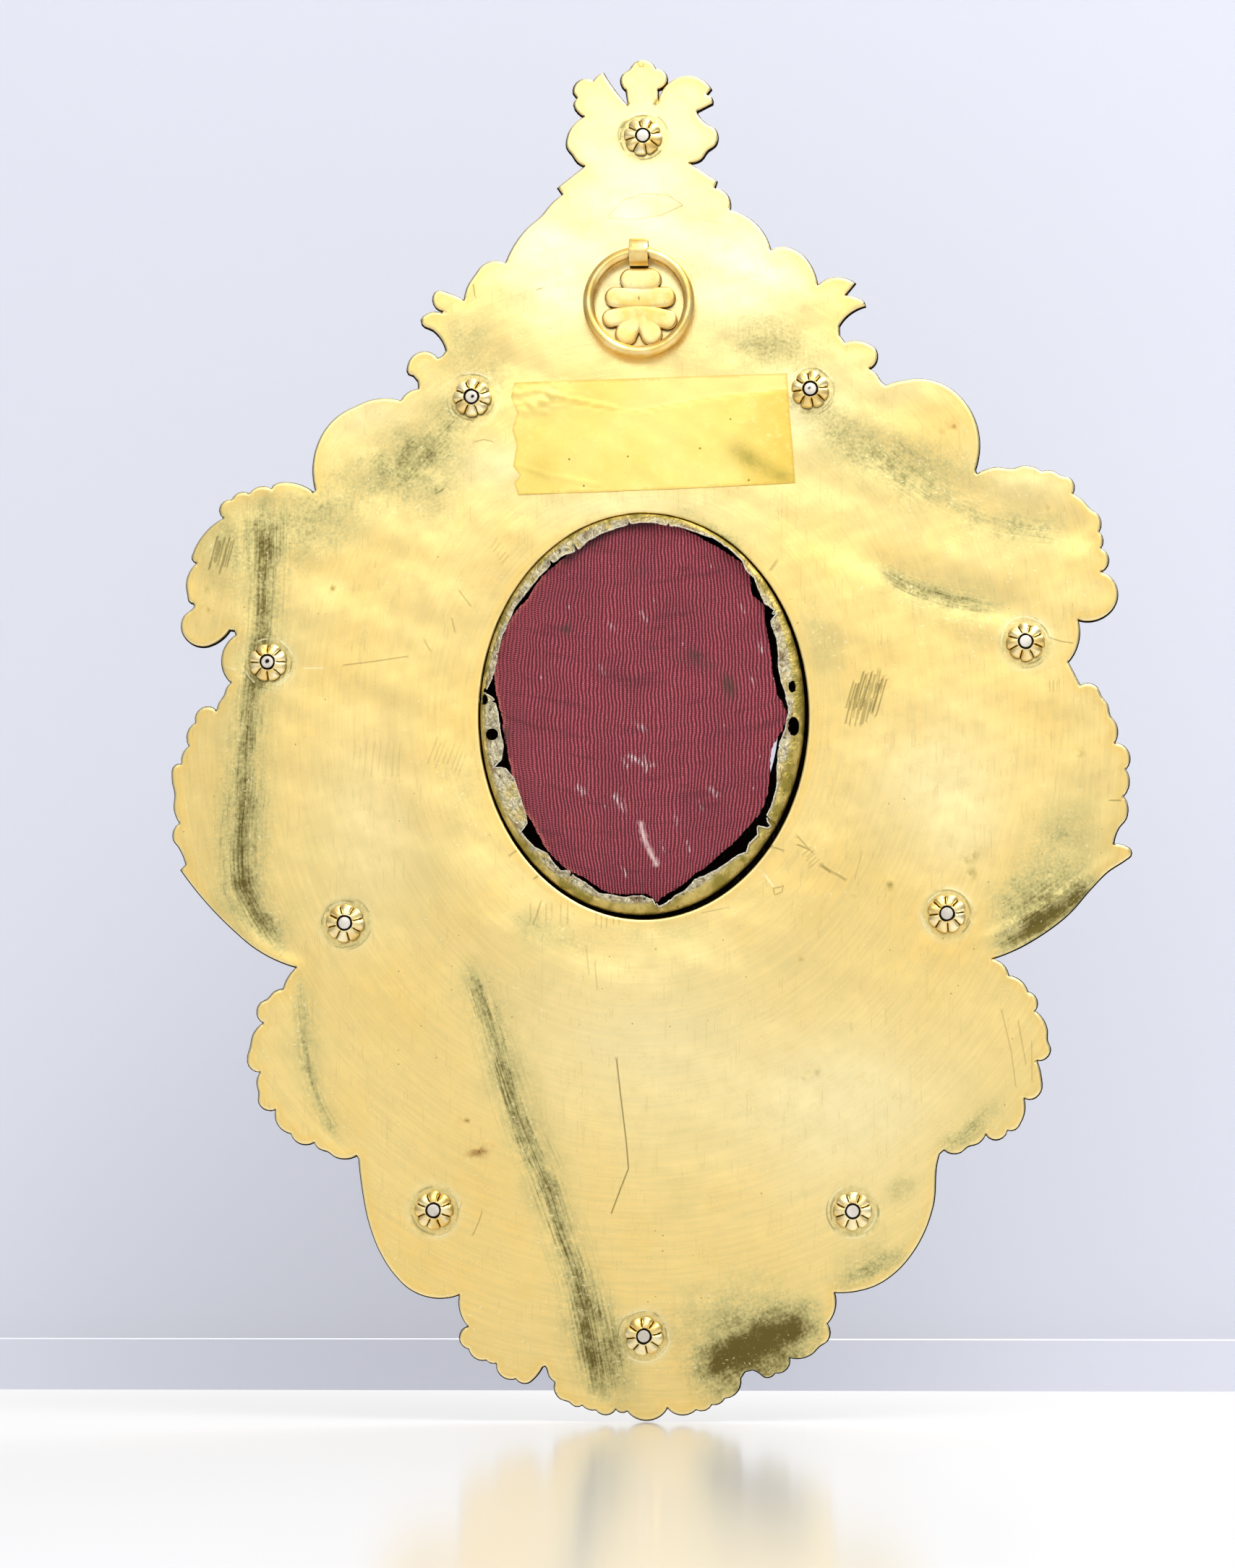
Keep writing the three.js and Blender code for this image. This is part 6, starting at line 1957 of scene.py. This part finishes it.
class PLAQUE_OT_front(bpy.types.Operator):
    """Model the embossed front sheet in tarnished silver"""

    bl_idname = "plaque.front"
    bl_label = "Front sheet"

    def execute(self, context):
        make_front(context.scene.plaque_plate, shared["tarnished silver"])
        return {"FINISHED"}


class PLAQUE_OT_nuts(bpy.types.Operator):
    """Model one rosette nut and one stud and set ten of each"""

    bl_idname = "plaque.nuts"
    bl_label = "Nuts and studs"

    def execute(self, context):
        make_nuts(context.scene.plaque_fittings, shared["nut brass"], shared["stud silver"])
        return {"FINISHED"}


class PLAQUE_OT_hanger(bpy.types.Operator):
    """Model the strap loop with its flower plate, and the ring that swings in it"""

    bl_idname = "plaque.hanger"
    bl_label = "Hanger and ring"

    def execute(self, context):
        fittings = context.scene.plaque_fittings
        make_hanger(fittings, shared["ring brass"])
        make_ring(fittings, shared["ring brass"])
        return {"FINISHED"}


class PLAQUE_OT_capsule(bpy.types.Operator):
    """Model the foil capsule with its folded tabs, and the silk that they hold"""

    bl_idname = "plaque.capsule"
    bl_label = "Capsule and silk"

    def execute(self, context):
        cloth = context.scene.plaque_cloth
        make_capsule(cloth, foil_material(cloth))
        make_silk(cloth, silk_material(cloth))
        return {"FINISHED"}


class PLAQUE_OT_tape(bpy.types.Operator):
    """Lay the yellowed tape on the plate"""

    bl_idname = "plaque.tape"
    bl_label = "Tape"

    def execute(self, context):
        make_tape(context.scene.plaque_cloth, tape_material(context.scene.plaque_plate, shared["specks"]))
        return {"FINISHED"}


class PLAQUE_OT_stage(bpy.types.Operator):
    """Set up the floor, backdrop, lights and camera"""

    bl_idname = "plaque.stage"
    bl_label = "Stage"

    def execute(self, context):
        make_stage(context.scene.plaque_stage)
        return {"FINISHED"}


OPERATORS = [
    PLAQUE_OT_finishes, PLAQUE_OT_plate, PLAQUE_OT_front, PLAQUE_OT_nuts, PLAQUE_OT_hanger, PLAQUE_OT_capsule,
    PLAQUE_OT_tape, PLAQUE_OT_stage,
]
SETTINGS = {
    "plaque_plate": PlateSettings, "plaque_fittings": FittingSettings, "plaque_cloth": ClothSettings,
    "plaque_stage": StageSettings,
}


class PLAQUE_PT_pieces(bpy.types.Panel):
    """Lists the steps that build the plaque"""

    bl_idname = "PLAQUE_PT_pieces"
    bl_label = "Reliquary plaque"
    bl_space_type = "VIEW_3D"
    bl_region_type = "UI"
    bl_category = "Plaque"

    def draw(self, context):
        for operator in OPERATORS:
            self.layout.operator(operator.bl_idname)


def register():
    for kind in [*SETTINGS.values(), *OPERATORS, PLAQUE_PT_pieces]:
        bpy.utils.register_class(kind)
    for name, kind in SETTINGS.items():
        setattr(bpy.types.Scene, name, PointerProperty(type=kind))


def unregister():
    for name in SETTINGS:
        delattr(bpy.types.Scene, name)
    for kind in [PLAQUE_PT_pieces, *reversed(OPERATORS), *SETTINGS.values()]:
        bpy.utils.unregister_class(kind)


def main():
    """Builds every piece and the stage."""
    register()
    for operator in OPERATORS:
        group, name = operator.bl_idname.split(".")
        getattr(getattr(bpy.ops, group), name)()


if __name__ == "__main__":
    main()
